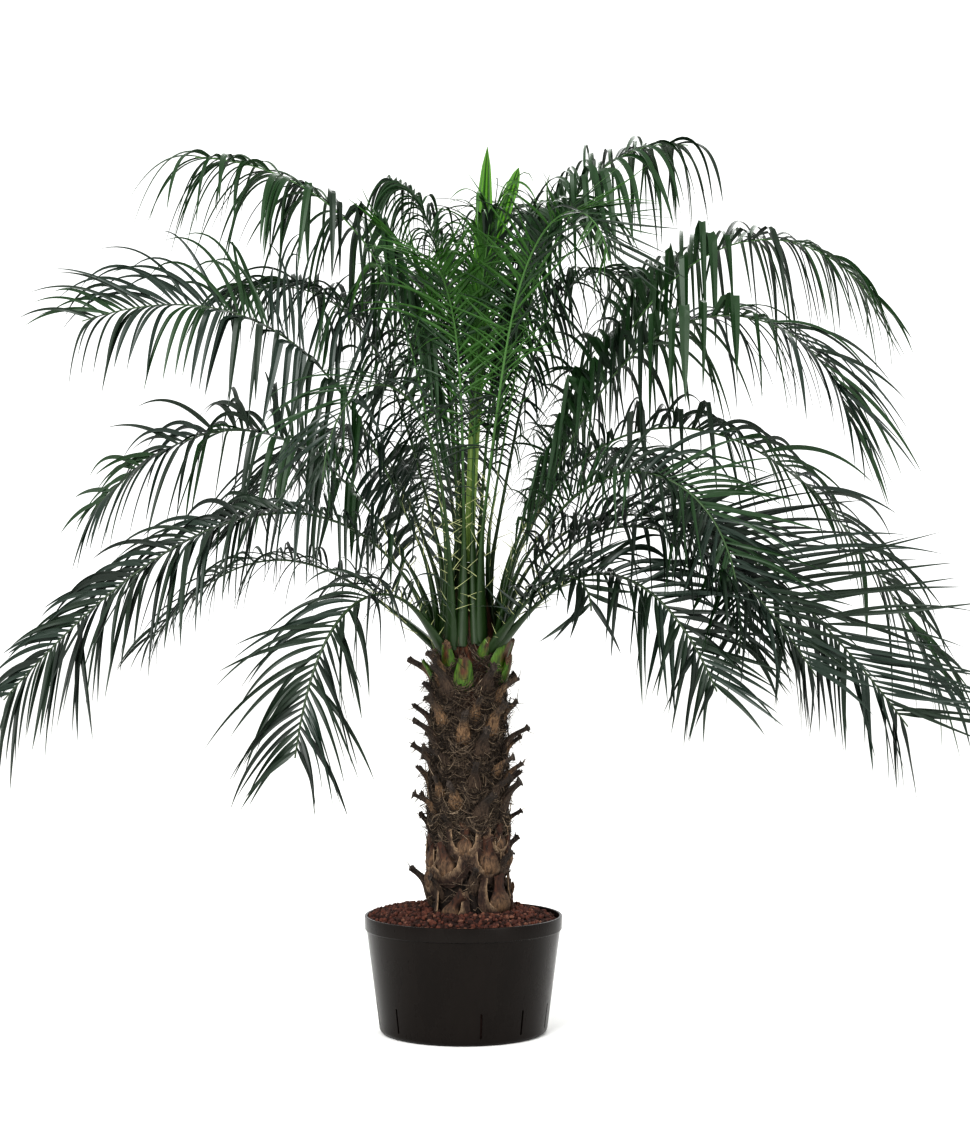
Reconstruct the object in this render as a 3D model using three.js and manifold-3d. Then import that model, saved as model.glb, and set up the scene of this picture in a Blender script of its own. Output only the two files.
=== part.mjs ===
// Pygmy date palm growing in a black plastic nursery pot.
// Millimetres, +Z up, origin at the centre of the pot's flat underside.

import * as THREE from 'three';
import { mergeVertices } from 'three/addons/utils/BufferGeometryUtils.js';
import Module from 'manifold-3d';

const { degToRad, lerp, smoothstep } = THREE.MathUtils;

// Gap between neighbouring pieces, and the distance at which vertices are one.
const CLEARANCE = 0.35;
const WELD = 1e-3;

// Pot: a tapered tub with a stepped rim band and drainage slits round its foot.
const POT = {
  height: 183,
  footRadius: 132,
  rimRadius: 155,
  rimBand: 22,
  rimStep: 3,
  rimTaper: 0.5,
  edge: 1,
  wall: 2.6,
  lipWidth: 4.5,
  floor: 5,
  footRound: 9,
  segments: 40,
};
const SLIT = { count: 12, width: 3.2, height: 39, bottom: 12, firstAzimuth: -78 };

// Clay granulate: a low mound, higher at the back left than at the front right.
const GRANULATE = {
  moundHeight: 192.6,
  moundRadius: 98,
  edgeHeight: 178,
  edgeGap: 1.4,
  edgeTilt: 5,
  highAzimuth: 150,
};

// Trunk: fibrous stem with a slight root flare, swollen at a third of its height, and a tapering heart.
const TRUNK = { x: 8, segments: 20 };
const TRUNK_OUTLINE = [
  { z: 193, radius: 64 },
  { z: 222, radius: 60 },
  { z: 345, radius: 61 },
  { z: 470, radius: 57 },
  { z: 575, radius: 55 },
  { z: 600, radius: 51 },
  { z: 735, radius: 14 },
];
const HEART_FROM = 3;

// Cut leaf bases that climb the trunk on a spiral, broad below and slender above.
const BOOT = {
  count: 72,
  turn: 137.5,
  bottom: 203,
  top: 548,
  sides: 4,
  sink: 13,
  low: { root: 27, tip: 13, length: 62, lean: 24, flat: 0.5 },
  high: { root: 20, tip: 9, length: 62, lean: 33, flat: 0.45 },
};

// Fronds, oldest and lowest first. Angles in degrees, azimuth counted from +X towards +Y, launch above the
// horizon, droop from base to tip, bend as a share of the length, twist of the blade at the tip.
const FRONDS = [
  { azimuth: -136, launch: 50, droop: 130, bend: 0.43, length: 490, twist: -30 },
  { azimuth: -38, launch: 41, droop: 104, bend: 0.56, length: 530, twist: 45 },
  { azimuth: 155, launch: 33.5, droop: 81, bend: 0.63, length: 622, twist: -20 },
  { azimuth: -50, launch: 37, droop: 129, bend: 1, length: 306, twist: 35 },
  { azimuth: -28, launch: 54, droop: 110, bend: 0.48, length: 700, twist: 30 },
  { azimuth: 98, launch: 56, droop: 100, bend: 0.6, length: 850, twist: 0 },
  { azimuth: 190, launch: 60, droop: 109, bend: 0.38, length: 868, twist: -40 },
  { azimuth: -14, launch: 64.7, droop: 118, bend: 0.355, length: 862, twist: 50 },
  { azimuth: 50, launch: 58, droop: 108, bend: 0.54, length: 890, twist: 20 },
  { azimuth: 126, launch: 60, droop: 100, bend: 0.57, length: 860, twist: -15 },
  { azimuth: -126, launch: 82, droop: 165, bend: 0.74, length: 680, twist: 0 },
  { azimuth: 9, launch: 68.9, droop: 134, bend: 0.44, length: 1109, twist: 30 },
  { azimuth: 160, launch: 54, droop: 98, bend: 0.66, length: 805, twist: -35 },
  { azimuth: -29, launch: 55.8, droop: 149.6, bend: 0.61, length: 724, twist: 50 },
  { azimuth: 50, launch: 74, droop: 118.5, bend: 0.94, length: 849, twist: 0 },
  { azimuth: -9, launch: 65, droop: 144, bend: 0.8, length: 922, twist: 10 },
  { azimuth: 176, launch: 66, droop: 84, bend: 0.74, length: 860, twist: -40 },
  { azimuth: 142, launch: 72, droop: 90, bend: 0.8, length: 840, twist: 0 },
  { azimuth: 106, launch: 76, droop: 95, bend: 0.8, length: 860, twist: 0 },
  { azimuth: 20, launch: 62, droop: 113, bend: 0.9, length: 1046, twist: 10 },
  { azimuth: -105, launch: 87, droop: 85, bend: 0.95, length: 620, twist: 0 },
  { azimuth: 186, launch: 81.2, droop: 80, bend: 0.84, length: 896, twist: 0 },
  { azimuth: 64, launch: 80, droop: 90, bend: 0.9, length: 860, twist: 0 },
  { azimuth: -61, launch: 76, droop: 151, bend: 1, length: 831, twist: 0 },
  { azimuth: 27, launch: 79.5, droop: 82, bend: 0.97, length: 918, twist: 0 },
  { azimuth: -160, launch: 88, droop: 48, bend: 0.95, length: 610, twist: 0 },
  { azimuth: 120, launch: 85, droop: 75, bend: 0.95, length: 800, twist: 0 },
  { azimuth: -72, launch: 86, droop: 24, bend: 0.9, length: 590, twist: 0 },
];

// Where the stalks are rooted in the heart, from the oldest frond to the youngest.
const ROOTS = { lowZ: 592, highZ: 687, outerRadius: 46, innerRadius: 12 };

// Ribs thin towards their tips. A frond that droops past splitDroop is two pieces, parted at its bend.
const RIB = {
  steps: 60,
  stalkWidth: 10.5,
  youngStalkWidth: 7.5,
  tipWidth: 3.2,
  taper: 0.8,
  flat: 0.72,
  twistFrom: 0.15,
  twistTo: 0.8,
  splitDroop: 80,
  searchStep: 0.002,
  sharpness: 4.5,
  stalkRings: [0, 0.07, 0.14],
};

// Leaflets stand in pairs along the blade; those on an arching stretch fold over and hang.
const LEAFLET = {
  pairs: 12,
  bladeStart: 0.22,
  bladeEnd: 0.965,
  baseAngle: 64,
  tipAngle: 34,
  riseFalling: 14,
  riseArching: 44,
  shortest: 60,
  perRibLength: 0.165,
  endShare: 0.58,
  swellFrom: 0.12,
  swellTo: 0.92,
  width: 22,
  widthPerSpacing: 0.4,
  rootWidth: 10,
  fold: 0.42,
  slimness: 85,
  sagFalling: 1.1,
  sagArching: 3.6,
  sagPower: 1.4,
  fallingPitch: -45,
  archingPitch: 5,
  steps: 10,
  shares: [1, 0.8, 0.62, 0.45],
  margin: 1,
};
const TERMINAL = { length: 80, width: 13, fold: 0.45 };

// Spear: the youngest leaf, still closed, that stands on the tip of the heart.
const SPEAR = { topZ: 1388, lean: 1.5, sides: 6, radius: 9 };
const SPEAR_OUTLINE = [
  { share: 0, radius: 6 },
  { share: 0.35, radius: 7 },
  { share: 0.65, radius: SPEAR.radius },
  { share: 0.88, radius: 5 },
  { share: 1, radius: 0 },
];

const FINISH = {
  pot: { color: 0x211d1a, roughness: 0.38, metalness: 0 },
  granulate: { color: 0x422b24, roughness: 0.95, metalness: 0 },
  trunk: { color: 0x4b3b2d, roughness: 0.92, metalness: 0 },
  oldFrond: { color: 0x2a3a2c, roughness: 0.5, metalness: 0 },
  youngFrond: { color: 0x3f6628, roughness: 0.48, metalness: 0 },
  spear: { color: 0x4f7a32, roughness: 0.45, metalness: 0 },
};

const DOWN = new THREE.Vector3(0, 0, -1);
const wasm = await Module();
wasm.setup();

// Closed triangle mesh of a geometry, with shared vertices merged and triangles without area dropped.
function weld(geometry) {
  const bare = new THREE.BufferGeometry().copy(geometry);
  bare.deleteAttribute('normal');
  bare.deleteAttribute('uv');
  const merged = mergeVertices(bare, WELD);
  const triangles = [];
  const index = merged.getIndex().array;
  for (let i = 0; i < index.length; i += 3) {
    const [a, b, c] = index.slice(i, i + 3);
    if (a !== b && b !== c && c !== a) triangles.push(a, b, c);
  }
  merged.setIndex(triangles);
  return merged;
}

// Solid for joins and cuts.
function toSolid(geometry) {
  const welded = weld(geometry);
  return new wasm.Manifold(new wasm.Mesh({
    numProp: 3,
    vertProperties: new Float32Array(welded.getAttribute('position').array),
    triVerts: new Uint32Array(welded.getIndex().array),
  }));
}

function toGeometry(solid) {
  const { vertProperties, triVerts } = solid.getMesh();
  const geometry = new THREE.BufferGeometry();
  geometry.setAttribute('position', new THREE.BufferAttribute(vertProperties, 3));
  geometry.setIndex(new THREE.BufferAttribute(triVerts, 1));
  return geometry;
}

function makeMesh(name, geometry, finish) {
  geometry.computeVertexNormals();
  const mesh = new THREE.Mesh(geometry, new THREE.MeshStandardMaterial(finish));
  mesh.name = name;
  return mesh;
}

// Body of revolution about +Z from an outline of (radius, height) points.
function turned(outline, segments) {
  return new THREE.LatheGeometry(outline, segments).rotateX(Math.PI / 2);
}

// Outer radius of the pot's wall, which leans outward from the foot to the rim band.
function wallRadius(z) {
  const top = POT.height - POT.rimBand;
  return lerp(POT.footRadius, POT.rimRadius - POT.rimStep, (z - POT.footRound) / (top - POT.footRound));
}

function makePot() {
  const bandZ = POT.height - POT.rimBand;
  const innerFoot = POT.footRadius - POT.footRound;
  const outline = new THREE.Path();
  outline.moveTo(0, 0);
  outline.lineTo(innerFoot, 0);
  outline.absarc(innerFoot, POT.footRound, POT.footRound, -Math.PI / 2, 0, false);
  outline.lineTo(wallRadius(bandZ), bandZ);
  outline.lineTo(POT.rimRadius - POT.rimTaper, bandZ + POT.edge);
  outline.lineTo(POT.rimRadius, POT.height - POT.edge);
  outline.lineTo(POT.rimRadius - POT.edge, POT.height);
  outline.lineTo(POT.rimRadius - POT.lipWidth, POT.height);
  outline.lineTo(wallRadius(bandZ) - POT.wall, bandZ - POT.edge);
  outline.lineTo(POT.footRadius - POT.wall, POT.footRound + POT.wall);
  outline.lineTo(innerFoot - POT.wall, POT.floor);
  outline.lineTo(0, POT.floor);
  let pot = toSolid(turned(outline.getPoints(2), POT.segments));
  for (let i = 0; i < SLIT.count; i += 1) {
    const azimuth = degToRad(SLIT.firstAzimuth + (360 / SLIT.count) * i);
    const slit = new THREE.BoxGeometry(POT.footRound * 2, SLIT.width, SLIT.height)
      .translate(wallRadius(SLIT.bottom + SLIT.height / 2), 0, SLIT.bottom + SLIT.height / 2)
      .rotateZ(azimuth);
    pot = pot.subtract(toSolid(slit));
  }
  return makeMesh('pot', toGeometry(pot), FINISH.pot);
}

function makeGranulate() {
  const gap = POT.wall + CLEARANCE;
  const base = POT.floor + CLEARANCE;
  const bandZ = POT.height - POT.rimBand;
  const outline = [
    new THREE.Vector2(0, base),
    new THREE.Vector2(POT.footRadius - POT.footRound - gap, base),
    new THREE.Vector2(POT.footRadius - gap, POT.footRound + gap),
    new THREE.Vector2(wallRadius(bandZ) - gap, bandZ - POT.edge),
    new THREE.Vector2(POT.rimRadius - POT.lipWidth - GRANULATE.edgeGap, GRANULATE.edgeHeight),
    new THREE.Vector2(GRANULATE.moundRadius, GRANULATE.moundHeight),
    new THREE.Vector2(0, GRANULATE.moundHeight),
  ];
  const geometry = weld(turned(outline, POT.segments));
  const position = geometry.getAttribute('position');
  const highX = Math.cos(degToRad(GRANULATE.highAzimuth));
  const highY = Math.sin(degToRad(GRANULATE.highAzimuth));
  for (let i = 0; i < position.count; i += 1) {
    if (Math.abs(position.getZ(i) - GRANULATE.edgeHeight) < POT.edge) {
      const toHighSide = (position.getX(i) * highX + position.getY(i) * highY) / POT.rimRadius;
      position.setZ(i, position.getZ(i) + GRANULATE.edgeTilt * toHighSide);
    }
  }
  return makeMesh('granulate', geometry, FINISH.granulate);
}

// Radius of the trunk or heart at a height.
function trunkRadius(z) {
  const above = TRUNK_OUTLINE.findIndex((ring) => ring.z >= z);
  const upper = TRUNK_OUTLINE[Math.max(1, above)];
  const lower = TRUNK_OUTLINE[Math.max(1, above) - 1];
  return lerp(lower.radius, upper.radius, (z - lower.z) / (upper.z - lower.z));
}

// Turned stem from one of the outline's rings up to the heart's tip, widened by a gap.
function stemSolid(firstRing, grow) {
  const rings = TRUNK_OUTLINE.slice(firstRing);
  const tip = rings.at(-1);
  const outline = [
    new THREE.Vector2(0, rings[0].z),
    ...rings.map((ring) => new THREE.Vector2(ring.radius + grow, ring === tip ? ring.z + grow : ring.z)),
    new THREE.Vector2(0, tip.z + grow),
  ];
  return toSolid(turned(outline, TRUNK.segments));
}

// One cut leaf base: a flat tapering peg rooted in the stem that leans outward.
function bootSolid(share, azimuth, z) {
  const mix = (key) => lerp(BOOT.low[key], BOOT.high[key], share);
  const boot = new THREE.CylinderGeometry(mix('tip'), mix('root'), mix('length'), BOOT.sides)
    .rotateY(Math.PI / BOOT.sides)
    .rotateX(Math.PI / 2)
    .scale(mix('flat'), 1, 1)
    .translate(0, 0, mix('length') / 2)
    .rotateY(degToRad(mix('lean')))
    .translate(trunkRadius(z) - BOOT.sink, 0, z)
    .rotateZ(azimuth);
  return toSolid(boot);
}

function makeTrunk() {
  let trunk = stemSolid(0, 0);
  for (let i = 0; i < BOOT.count; i += 1) {
    const share = i / (BOOT.count - 1);
    trunk = trunk.add(bootSolid(share, degToRad(BOOT.turn * i), lerp(BOOT.bottom, BOOT.top, share)));
  }
  const ground = new THREE.BoxGeometry(POT.rimRadius * 2, POT.rimRadius * 2, POT.height)
    .translate(0, 0, TRUNK_OUTLINE[0].z - POT.height / 2);
  trunk = trunk.subtract(toSolid(ground));
  const mesh = makeMesh('trunk', toGeometry(trunk), FINISH.trunk);
  mesh.position.x = TRUNK.x;
  return mesh;
}

// Rib of a frond: it rises at its launch angle, bends at a share of its length and hangs towards its tip.
class RibCurve extends THREE.Curve {
  constructor(row, age) {
    super();
    this.row = row;
    this.azimuth = degToRad(row.azimuth);
    const radius = lerp(ROOTS.outerRadius, ROOTS.innerRadius, age);
    this.points = [this.outward(radius).setZ(lerp(ROOTS.lowZ, ROOTS.highZ, age))];
    const step = row.length / RIB.steps;
    for (let i = 0; i < RIB.steps; i += 1) {
      const tangent = this.tangentAt((i + 0.5) / RIB.steps);
      this.points.push(this.points[i].clone().addScaledVector(tangent, step));
    }
  }

  outward(distance) {
    return new THREE.Vector3(Math.cos(this.azimuth), Math.sin(this.azimuth), 0).multiplyScalar(distance);
  }

  // Angle above the horizon at a share of the length.
  pitch(u) {
    const { launch, droop, bend } = this.row;
    const power = 1 + RIB.sharpness * bend;
    const drop = ((1 + bend ** power) * u ** power) / (u ** power + bend ** power);
    return degToRad(launch - droop * drop);
  }

  tangentAt(u) {
    const pitch = this.pitch(u);
    return this.outward(Math.cos(pitch)).setZ(Math.sin(pitch));
  }

  getPoint(u, target = new THREE.Vector3()) {
    const place = Math.min(Math.max(u, 0), 1) * RIB.steps;
    const index = Math.min(Math.floor(place), RIB.steps - 1);
    return target.lerpVectors(this.points[index], this.points[index + 1], place - index);
  }

  // Tangent, left side and upper normal of the blade, which twists towards its tip.
  frame(u) {
    const tangent = this.tangentAt(u);
    const pitch = this.pitch(u);
    const normal = this.outward(-Math.sin(pitch)).setZ(Math.cos(pitch));
    const twist = degToRad(this.row.twist) * smoothstep(u, RIB.twistFrom, RIB.twistTo);
    normal.applyAxisAngle(tangent, twist);
    const side = new THREE.Vector3().crossVectors(normal, tangent);
    return { tangent, normal, side };
  }

  // Share of the length at which half of the droop is reached.
  get bendPlace() {
    const half = degToRad(this.row.launch - this.row.droop / 2);
    let place = 0;
    while (this.pitch(place) > half) place += RIB.searchStep;
    return place;
  }
}

// Centre line of a leaflet as root, fold and tip, with its blade's directions at the fold.
function leafletPath(rib, u, side, length) {
  const along = (u - LEAFLET.bladeStart) / (1 - LEAFLET.bladeStart);
  const frame = rib.frame(u);
  const pitch = THREE.MathUtils.radToDeg(rib.pitch(u));
  const arching = smoothstep(pitch, LEAFLET.fallingPitch, LEAFLET.archingPitch);
  const angle = degToRad(lerp(LEAFLET.baseAngle, LEAFLET.tipAngle, along));
  const rise = degToRad(lerp(LEAFLET.riseFalling, LEAFLET.riseArching, arching));
  const first = frame.tangent.clone().multiplyScalar(Math.cos(angle))
    .addScaledVector(frame.side, Math.sin(angle) * Math.cos(rise) * side)
    .addScaledVector(frame.normal, Math.sin(angle) * Math.sin(rise));
  const sag = lerp(LEAFLET.sagFalling, LEAFLET.sagArching, arching);
  const root = rib.getPoint(u);
  const point = root.clone();
  let fold = null;
  let heading = null;
  for (let i = 0; i < LEAFLET.steps; i += 1) {
    const share = (i + 0.5) / LEAFLET.steps;
    const direction = first.clone().addScaledVector(DOWN, sag * share ** LEAFLET.sagPower).normalize();
    point.addScaledVector(direction, length / LEAFLET.steps);
    if (!fold && share > LEAFLET.fold) {
      fold = point.clone();
      heading = direction;
    }
  }
  const chord = fold.clone().sub(root).normalize();
  const turn = new THREE.Quaternion().setFromUnitVectors(chord, heading);
  const across = frame.tangent.clone().addScaledVector(chord, -frame.tangent.dot(chord));
  across.normalize().applyQuaternion(turn);
  const upper = new THREE.Vector3().crossVectors(across, heading).multiplyScalar(side);
  return { root, fold, tip: point, across, upper, length };
}

// Longest leaflet of a blade at a share of its rib: short at both ends, full length in the middle.
function leafletLength(rib, u) {
  const along = (u - LEAFLET.bladeStart) / (1 - LEAFLET.bladeStart);
  const full = LEAFLET.shortest + LEAFLET.perRibLength * rib.row.length;
  const swell = Math.sin(Math.PI * lerp(LEAFLET.swellFrom, LEAFLET.swellTo, along));
  return full * lerp(LEAFLET.endShare, 1, swell);
}

// Space already taken by ribs and leaflets, kept as segments whose radius changes from end to end.
class TakenSpace {
  constructor() {
    this.segments = [];
  }

  static segment(start, end, startRadius, endRadius, owner) {
    const line = new THREE.Line3(start, end);
    const reach = line.distance() / 2 + Math.max(startRadius, endRadius);
    return { line, startRadius, endRadius, owner, reach, centre: line.getCenter(new THREE.Vector3()) };
  }

  static touch(a, b) {
    if (a.centre.distanceTo(b.centre) > a.reach + b.reach + LEAFLET.margin) return false;
    const onA = new THREE.Vector3();
    const onB = new THREE.Vector3();
    const distance = Math.sqrt(a.line.distanceSqToLine3(b.line, onA, onB));
    const radiusA = lerp(a.startRadius, a.endRadius, a.line.start.distanceTo(onA) / a.line.distance());
    const radiusB = lerp(b.startRadius, b.endRadius, b.line.start.distanceTo(onB) / b.line.distance());
    return distance < radiusA + radiusB + LEAFLET.margin;
  }

  isFree(segments) {
    return !segments.some((segment) => this.segments.some((taken) => (
      taken.owner !== segment.owner && TakenSpace.touch(segment, taken))));
  }

  take(segments) {
    this.segments.push(...segments);
  }
}

function spearFoot() {
  return new THREE.Vector3(0, 0, TRUNK_OUTLINE.at(-1).z + CLEARANCE * 2);
}

function spearTip() {
  const foot = spearFoot();
  return new THREE.Vector3((SPEAR.topZ - foot.z) * Math.tan(degToRad(SPEAR.lean)), 0, SPEAR.topZ);
}

class Frond {
  constructor(row, index) {
    const age = index / (FRONDS.length - 1);
    this.name = `frond_${String(index + 1).padStart(2, '0')}`;
    this.age = age;
    this.rib = new RibCurve(row, age);
    this.halfRoot = LEAFLET.rootWidth / 2 / row.length;
    const spacing = (row.length * (LEAFLET.bladeEnd - LEAFLET.bladeStart)) / (LEAFLET.pairs - 1);
    this.leafletWidth = Math.min(LEAFLET.width, spacing * LEAFLET.widthPerSpacing);
    this.stations = [];
    for (let i = 0; i < LEAFLET.pairs; i += 1) {
      this.stations.push(lerp(LEAFLET.bladeStart, LEAFLET.bladeEnd, i / (LEAFLET.pairs - 1)));
    }
    this.leaflets = new Map();
    this.cut = row.droop > RIB.splitDroop ? this.cutBetweenLeaflets() : null;
  }

  // The cut at the bend keeps to the middle between two pairs of leaflets.
  cutBetweenLeaflets() {
    const bend = this.rib.bendPlace;
    const next = Math.max(1, this.stations.findIndex((station) => station > bend));
    return (this.stations[next - 1] + this.stations[next]) / 2;
  }

  width(u) {
    const stalk = lerp(RIB.stalkWidth, RIB.youngStalkWidth, this.age);
    return lerp(stalk, RIB.tipWidth, u ** RIB.taper);
  }

  ribSegments() {
    const places = [...Array(RIB.steps + 1).keys()].map((i) => i / RIB.steps);
    return places.slice(1).map((far, i) => {
      const near = places[i];
      const [start, end] = [this.rib.getPoint(near), this.rib.getPoint(far)];
      return TakenSpace.segment(start, end, this.width(near) / 2, this.width(far) / 2, this.rib);
    });
  }

  leafletSegments(path) {
    const { root, fold, tip } = path;
    const half = this.leafletWidth / 2;
    return [
      TakenSpace.segment(root, fold, LEAFLET.rootWidth / 2, half, this.rib),
      TakenSpace.segment(fold, tip, half, LEAFLET.margin, path),
    ];
  }

  // Grows the pair of leaflets at a station, shorter where other leaves leave little room.
  growPair(station, taken) {
    const u = this.stations[station];
    for (const side of [1, -1]) {
      for (const share of LEAFLET.shares) {
        const path = leafletPath(this.rib, u, side, leafletLength(this.rib, u) * share);
        const segments = this.leafletSegments(path);
        if (taken.isFree(segments)) {
          taken.take(segments);
          this.leaflets.set(`${station}:${side}`, path);
          break;
        }
      }
    }
  }
}

// Blade of a frond between two places on its rib: a four-sided rib whose side faces run out into leaflets.
class FrondGeometry extends THREE.BufferGeometry {
  constructor(frond, from, to) {
    super();
    this.frond = frond;
    this.vertices = [];
    this.faces = [];
    const rings = this.ringPlaces(from, to).map((u) => ({ u, corners: this.addRing(u) }));
    this.addQuad([0, 3, 2, 1].map((i) => rings[0].corners[i]));
    for (let i = 1; i < rings.length; i += 1) this.addStretch(rings[i - 1], rings[i]);
    if (to === 1) this.addTerminal(rings.at(-1));
    else this.addQuad(rings.at(-1).corners);
    const coordinates = this.vertices.flatMap((vertex) => vertex.toArray());
    this.setAttribute('position', new THREE.Float32BufferAttribute(coordinates, 3));
    this.setIndex(this.faces);
  }

  ringPlaces(from, to) {
    const { stations, halfRoot } = this.frond;
    const places = [...RIB.stalkRings, ...stations.flatMap((u) => [u - halfRoot, u + halfRoot])];
    return [from, ...places.filter((u) => u > from && u < to), to];
  }

  addPoint(point) {
    return this.vertices.push(point) - 1;
  }

  // Four corners about a point: left top, right top, right bottom, left bottom.
  addCorners(point, side, normal, width, height) {
    const corner = (left, up) => this.addPoint(point.clone()
      .addScaledVector(side, left * width / 2)
      .addScaledVector(normal, up * height / 2));
    return [corner(1, 1), corner(-1, 1), corner(-1, -1), corner(1, -1)];
  }

  addRing(u) {
    const { rib } = this.frond;
    const { side, normal } = rib.frame(u);
    const width = this.frond.width(u);
    return this.addCorners(rib.getPoint(u), side, normal, width, width * RIB.flat);
  }

  addQuad([a, b, c, d]) {
    this.faces.push(a, b, c, a, c, d);
  }

  // Runs a face out over a middle outline to a point.
  addBlade(root, middle, tip) {
    const end = this.addPoint(tip);
    for (let i = 0; i < 4; i += 1) {
      const next = (i + 1) % 4;
      this.addQuad([root[i], root[next], middle[next], middle[i]]);
      this.faces.push(middle[i], middle[next], end);
    }
  }

  addStretch(near, far) {
    const a = near.corners;
    const b = far.corners;
    this.addQuad([a[0], a[1], b[1], b[0]]);
    this.addQuad([a[2], a[3], b[3], b[2]]);
    this.addSide([a[3], a[0], b[0], b[3]], near.u, far.u, 1);
    this.addSide([a[1], a[2], b[2], b[1]], near.u, far.u, -1);
  }

  addSide(root, nearU, farU, side) {
    const station = this.frond.stations.findIndex((u) => u > nearU && u < farU);
    const path = this.frond.leaflets.get(`${station}:${side}`);
    if (!path) {
      this.addQuad(root);
      return;
    }
    const thickness = path.length / LEAFLET.slimness;
    const [a, b, c, d] = this.addCorners(
      path.fold,
      path.upper,
      path.across,
      thickness * side,
      this.frond.leafletWidth,
    );
    this.addBlade(root, [c, d, a, b], path.tip);
  }

  addTerminal(ring) {
    const { rib } = this.frond;
    const { tangent, side, normal } = rib.frame(1);
    const end = rib.getPoint(1);
    const fold = end.clone().addScaledVector(tangent, TERMINAL.length * TERMINAL.fold);
    const tip = end.clone().addScaledVector(tangent, TERMINAL.length);
    const thickness = TERMINAL.length / LEAFLET.slimness;
    this.addBlade(ring.corners, this.addCorners(fold, side, normal, TERMINAL.width, thickness), tip);
  }
}

function makeFronds() {
  const fronds = FRONDS.map((row, index) => new Frond(row, index));
  const taken = new TakenSpace();
  taken.take([TakenSpace.segment(spearFoot(), spearTip(), SPEAR.radius, SPEAR.radius, 'spear')]);
  fronds.forEach((frond) => taken.take(frond.ribSegments()));
  for (let station = LEAFLET.pairs - 1; station >= 0; station -= 1) {
    fronds.forEach((frond) => frond.growPair(station, taken));
  }
  const heart = stemSolid(HEART_FROM, CLEARANCE);
  const oldColor = new THREE.Color(FINISH.oldFrond.color);
  const youngColor = new THREE.Color(FINISH.youngFrond.color);
  const group = new THREE.Group();
  group.position.x = TRUNK.x;
  for (const frond of fronds) {
    const gap = CLEARANCE / 2 / frond.rib.row.length;
    const finish = { ...FINISH.oldFrond, color: oldColor.clone().lerp(youngColor, frond.age) };
    const lower = new FrondGeometry(frond, 0, frond.cut ? frond.cut - gap : 1);
    const rooted = toGeometry(toSolid(lower).subtract(heart));
    group.add(makeMesh(frond.cut ? `${frond.name}_rise` : frond.name, rooted, finish));
    if (frond.cut) {
      group.add(makeMesh(`${frond.name}_fall`, new FrondGeometry(frond, frond.cut + gap, 1), finish));
    }
  }
  return group;
}

function makeSpear() {
  const length = spearFoot().distanceTo(spearTip());
  const outline = [
    new THREE.Vector2(0, 0),
    ...SPEAR_OUTLINE.map(({ share, radius }) => new THREE.Vector2(radius, length * share)),
  ];
  const mesh = makeMesh('spear_leaf', weld(turned(outline, SPEAR.sides)), FINISH.spear);
  mesh.position.copy(spearFoot()).setX(TRUNK.x);
  mesh.rotation.y = degToRad(SPEAR.lean);
  return mesh;
}

const palm = new THREE.Group();
palm.add(makePot(), makeGranulate(), makeTrunk(), makeFronds(), makeSpear());

export default palm;
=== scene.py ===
"""Looks of a pygmy date palm in a black nursery pot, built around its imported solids.

Sizes are in millimetres until a mesh is made, angles in degrees, +Z is up and the camera looks along +Y.
"""

import logging
import math
from collections.abc import Sequence
from dataclasses import dataclass, field
from enum import Enum
from functools import partial

import bmesh
import bpy
import numpy as np
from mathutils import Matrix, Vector


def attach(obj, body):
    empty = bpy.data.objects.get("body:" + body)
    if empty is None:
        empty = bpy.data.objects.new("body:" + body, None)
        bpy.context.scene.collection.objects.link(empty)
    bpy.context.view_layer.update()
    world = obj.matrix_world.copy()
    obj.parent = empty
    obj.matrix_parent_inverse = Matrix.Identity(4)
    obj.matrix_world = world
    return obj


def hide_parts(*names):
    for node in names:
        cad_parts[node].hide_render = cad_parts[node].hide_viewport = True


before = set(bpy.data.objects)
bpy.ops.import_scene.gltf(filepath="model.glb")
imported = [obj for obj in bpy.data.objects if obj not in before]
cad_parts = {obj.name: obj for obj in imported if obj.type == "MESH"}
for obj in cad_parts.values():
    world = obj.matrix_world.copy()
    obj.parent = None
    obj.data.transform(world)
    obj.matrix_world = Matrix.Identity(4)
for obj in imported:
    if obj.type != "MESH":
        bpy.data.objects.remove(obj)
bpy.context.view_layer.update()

LOG = logging.getLogger("palm")
METRE = 0.001
BODY = "root"
UP = np.array((0.0, 0.0, 1.0))
GOLDEN_TURN = 137.5
TONE = "tone"
Array = np.ndarray
Socket = bpy.types.NodeSocket


def linear(code: str) -> tuple[float, float, float, float]:
    """Turns an sRGB hex colour into linear light.

    Args:
        code: Colour written as #rrggbb.

    Returns:
        Linear red, green, blue and full alpha.
    """
    shares = [int(code[i : i + 2], 16) / 255 for i in (1, 3, 5)]
    return (*(s / 12.92 if s <= 0.04045 else ((s + 0.055) / 1.055) ** 2.4 for s in shares), 1.0)


def mixed(first: str, second: str, share: float) -> str:
    """Mixes two sRGB hex colours by a share of the second."""
    pairs = zip(bytes.fromhex(first[1:]), bytes.fromhex(second[1:]))
    return "#" + "".join(f"{round(a + (b - a) * share):02x}" for a, b in pairs)


def per_metre(size: float) -> float:
    """Gives the pattern scale, in features per metre, for a feature size in millimetres."""
    return 1 / (size * METRE)


def lerp(start: Array, end: Array, share: Array) -> Array:
    """Mixes two values by a share from 0 to 1."""
    return start + (end - start) * share


def smoothstep(value: Array, low: float, high: float) -> Array:
    """Rises smoothly from 0 at low to 1 at high."""
    share = np.clip((value - low) / (high - low), 0, 1)
    return share * share * (3 - 2 * share)


def unit(vectors: Array) -> Array:
    """Scales vectors, along the last axis, to length 1."""
    return vectors / np.linalg.norm(vectors, axis=-1, keepdims=True)


def dot(first: Array, second: Array) -> Array:
    """Dot product along the last axis, which is kept with length 1."""
    return np.sum(first * second, axis=-1, keepdims=True)


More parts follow.
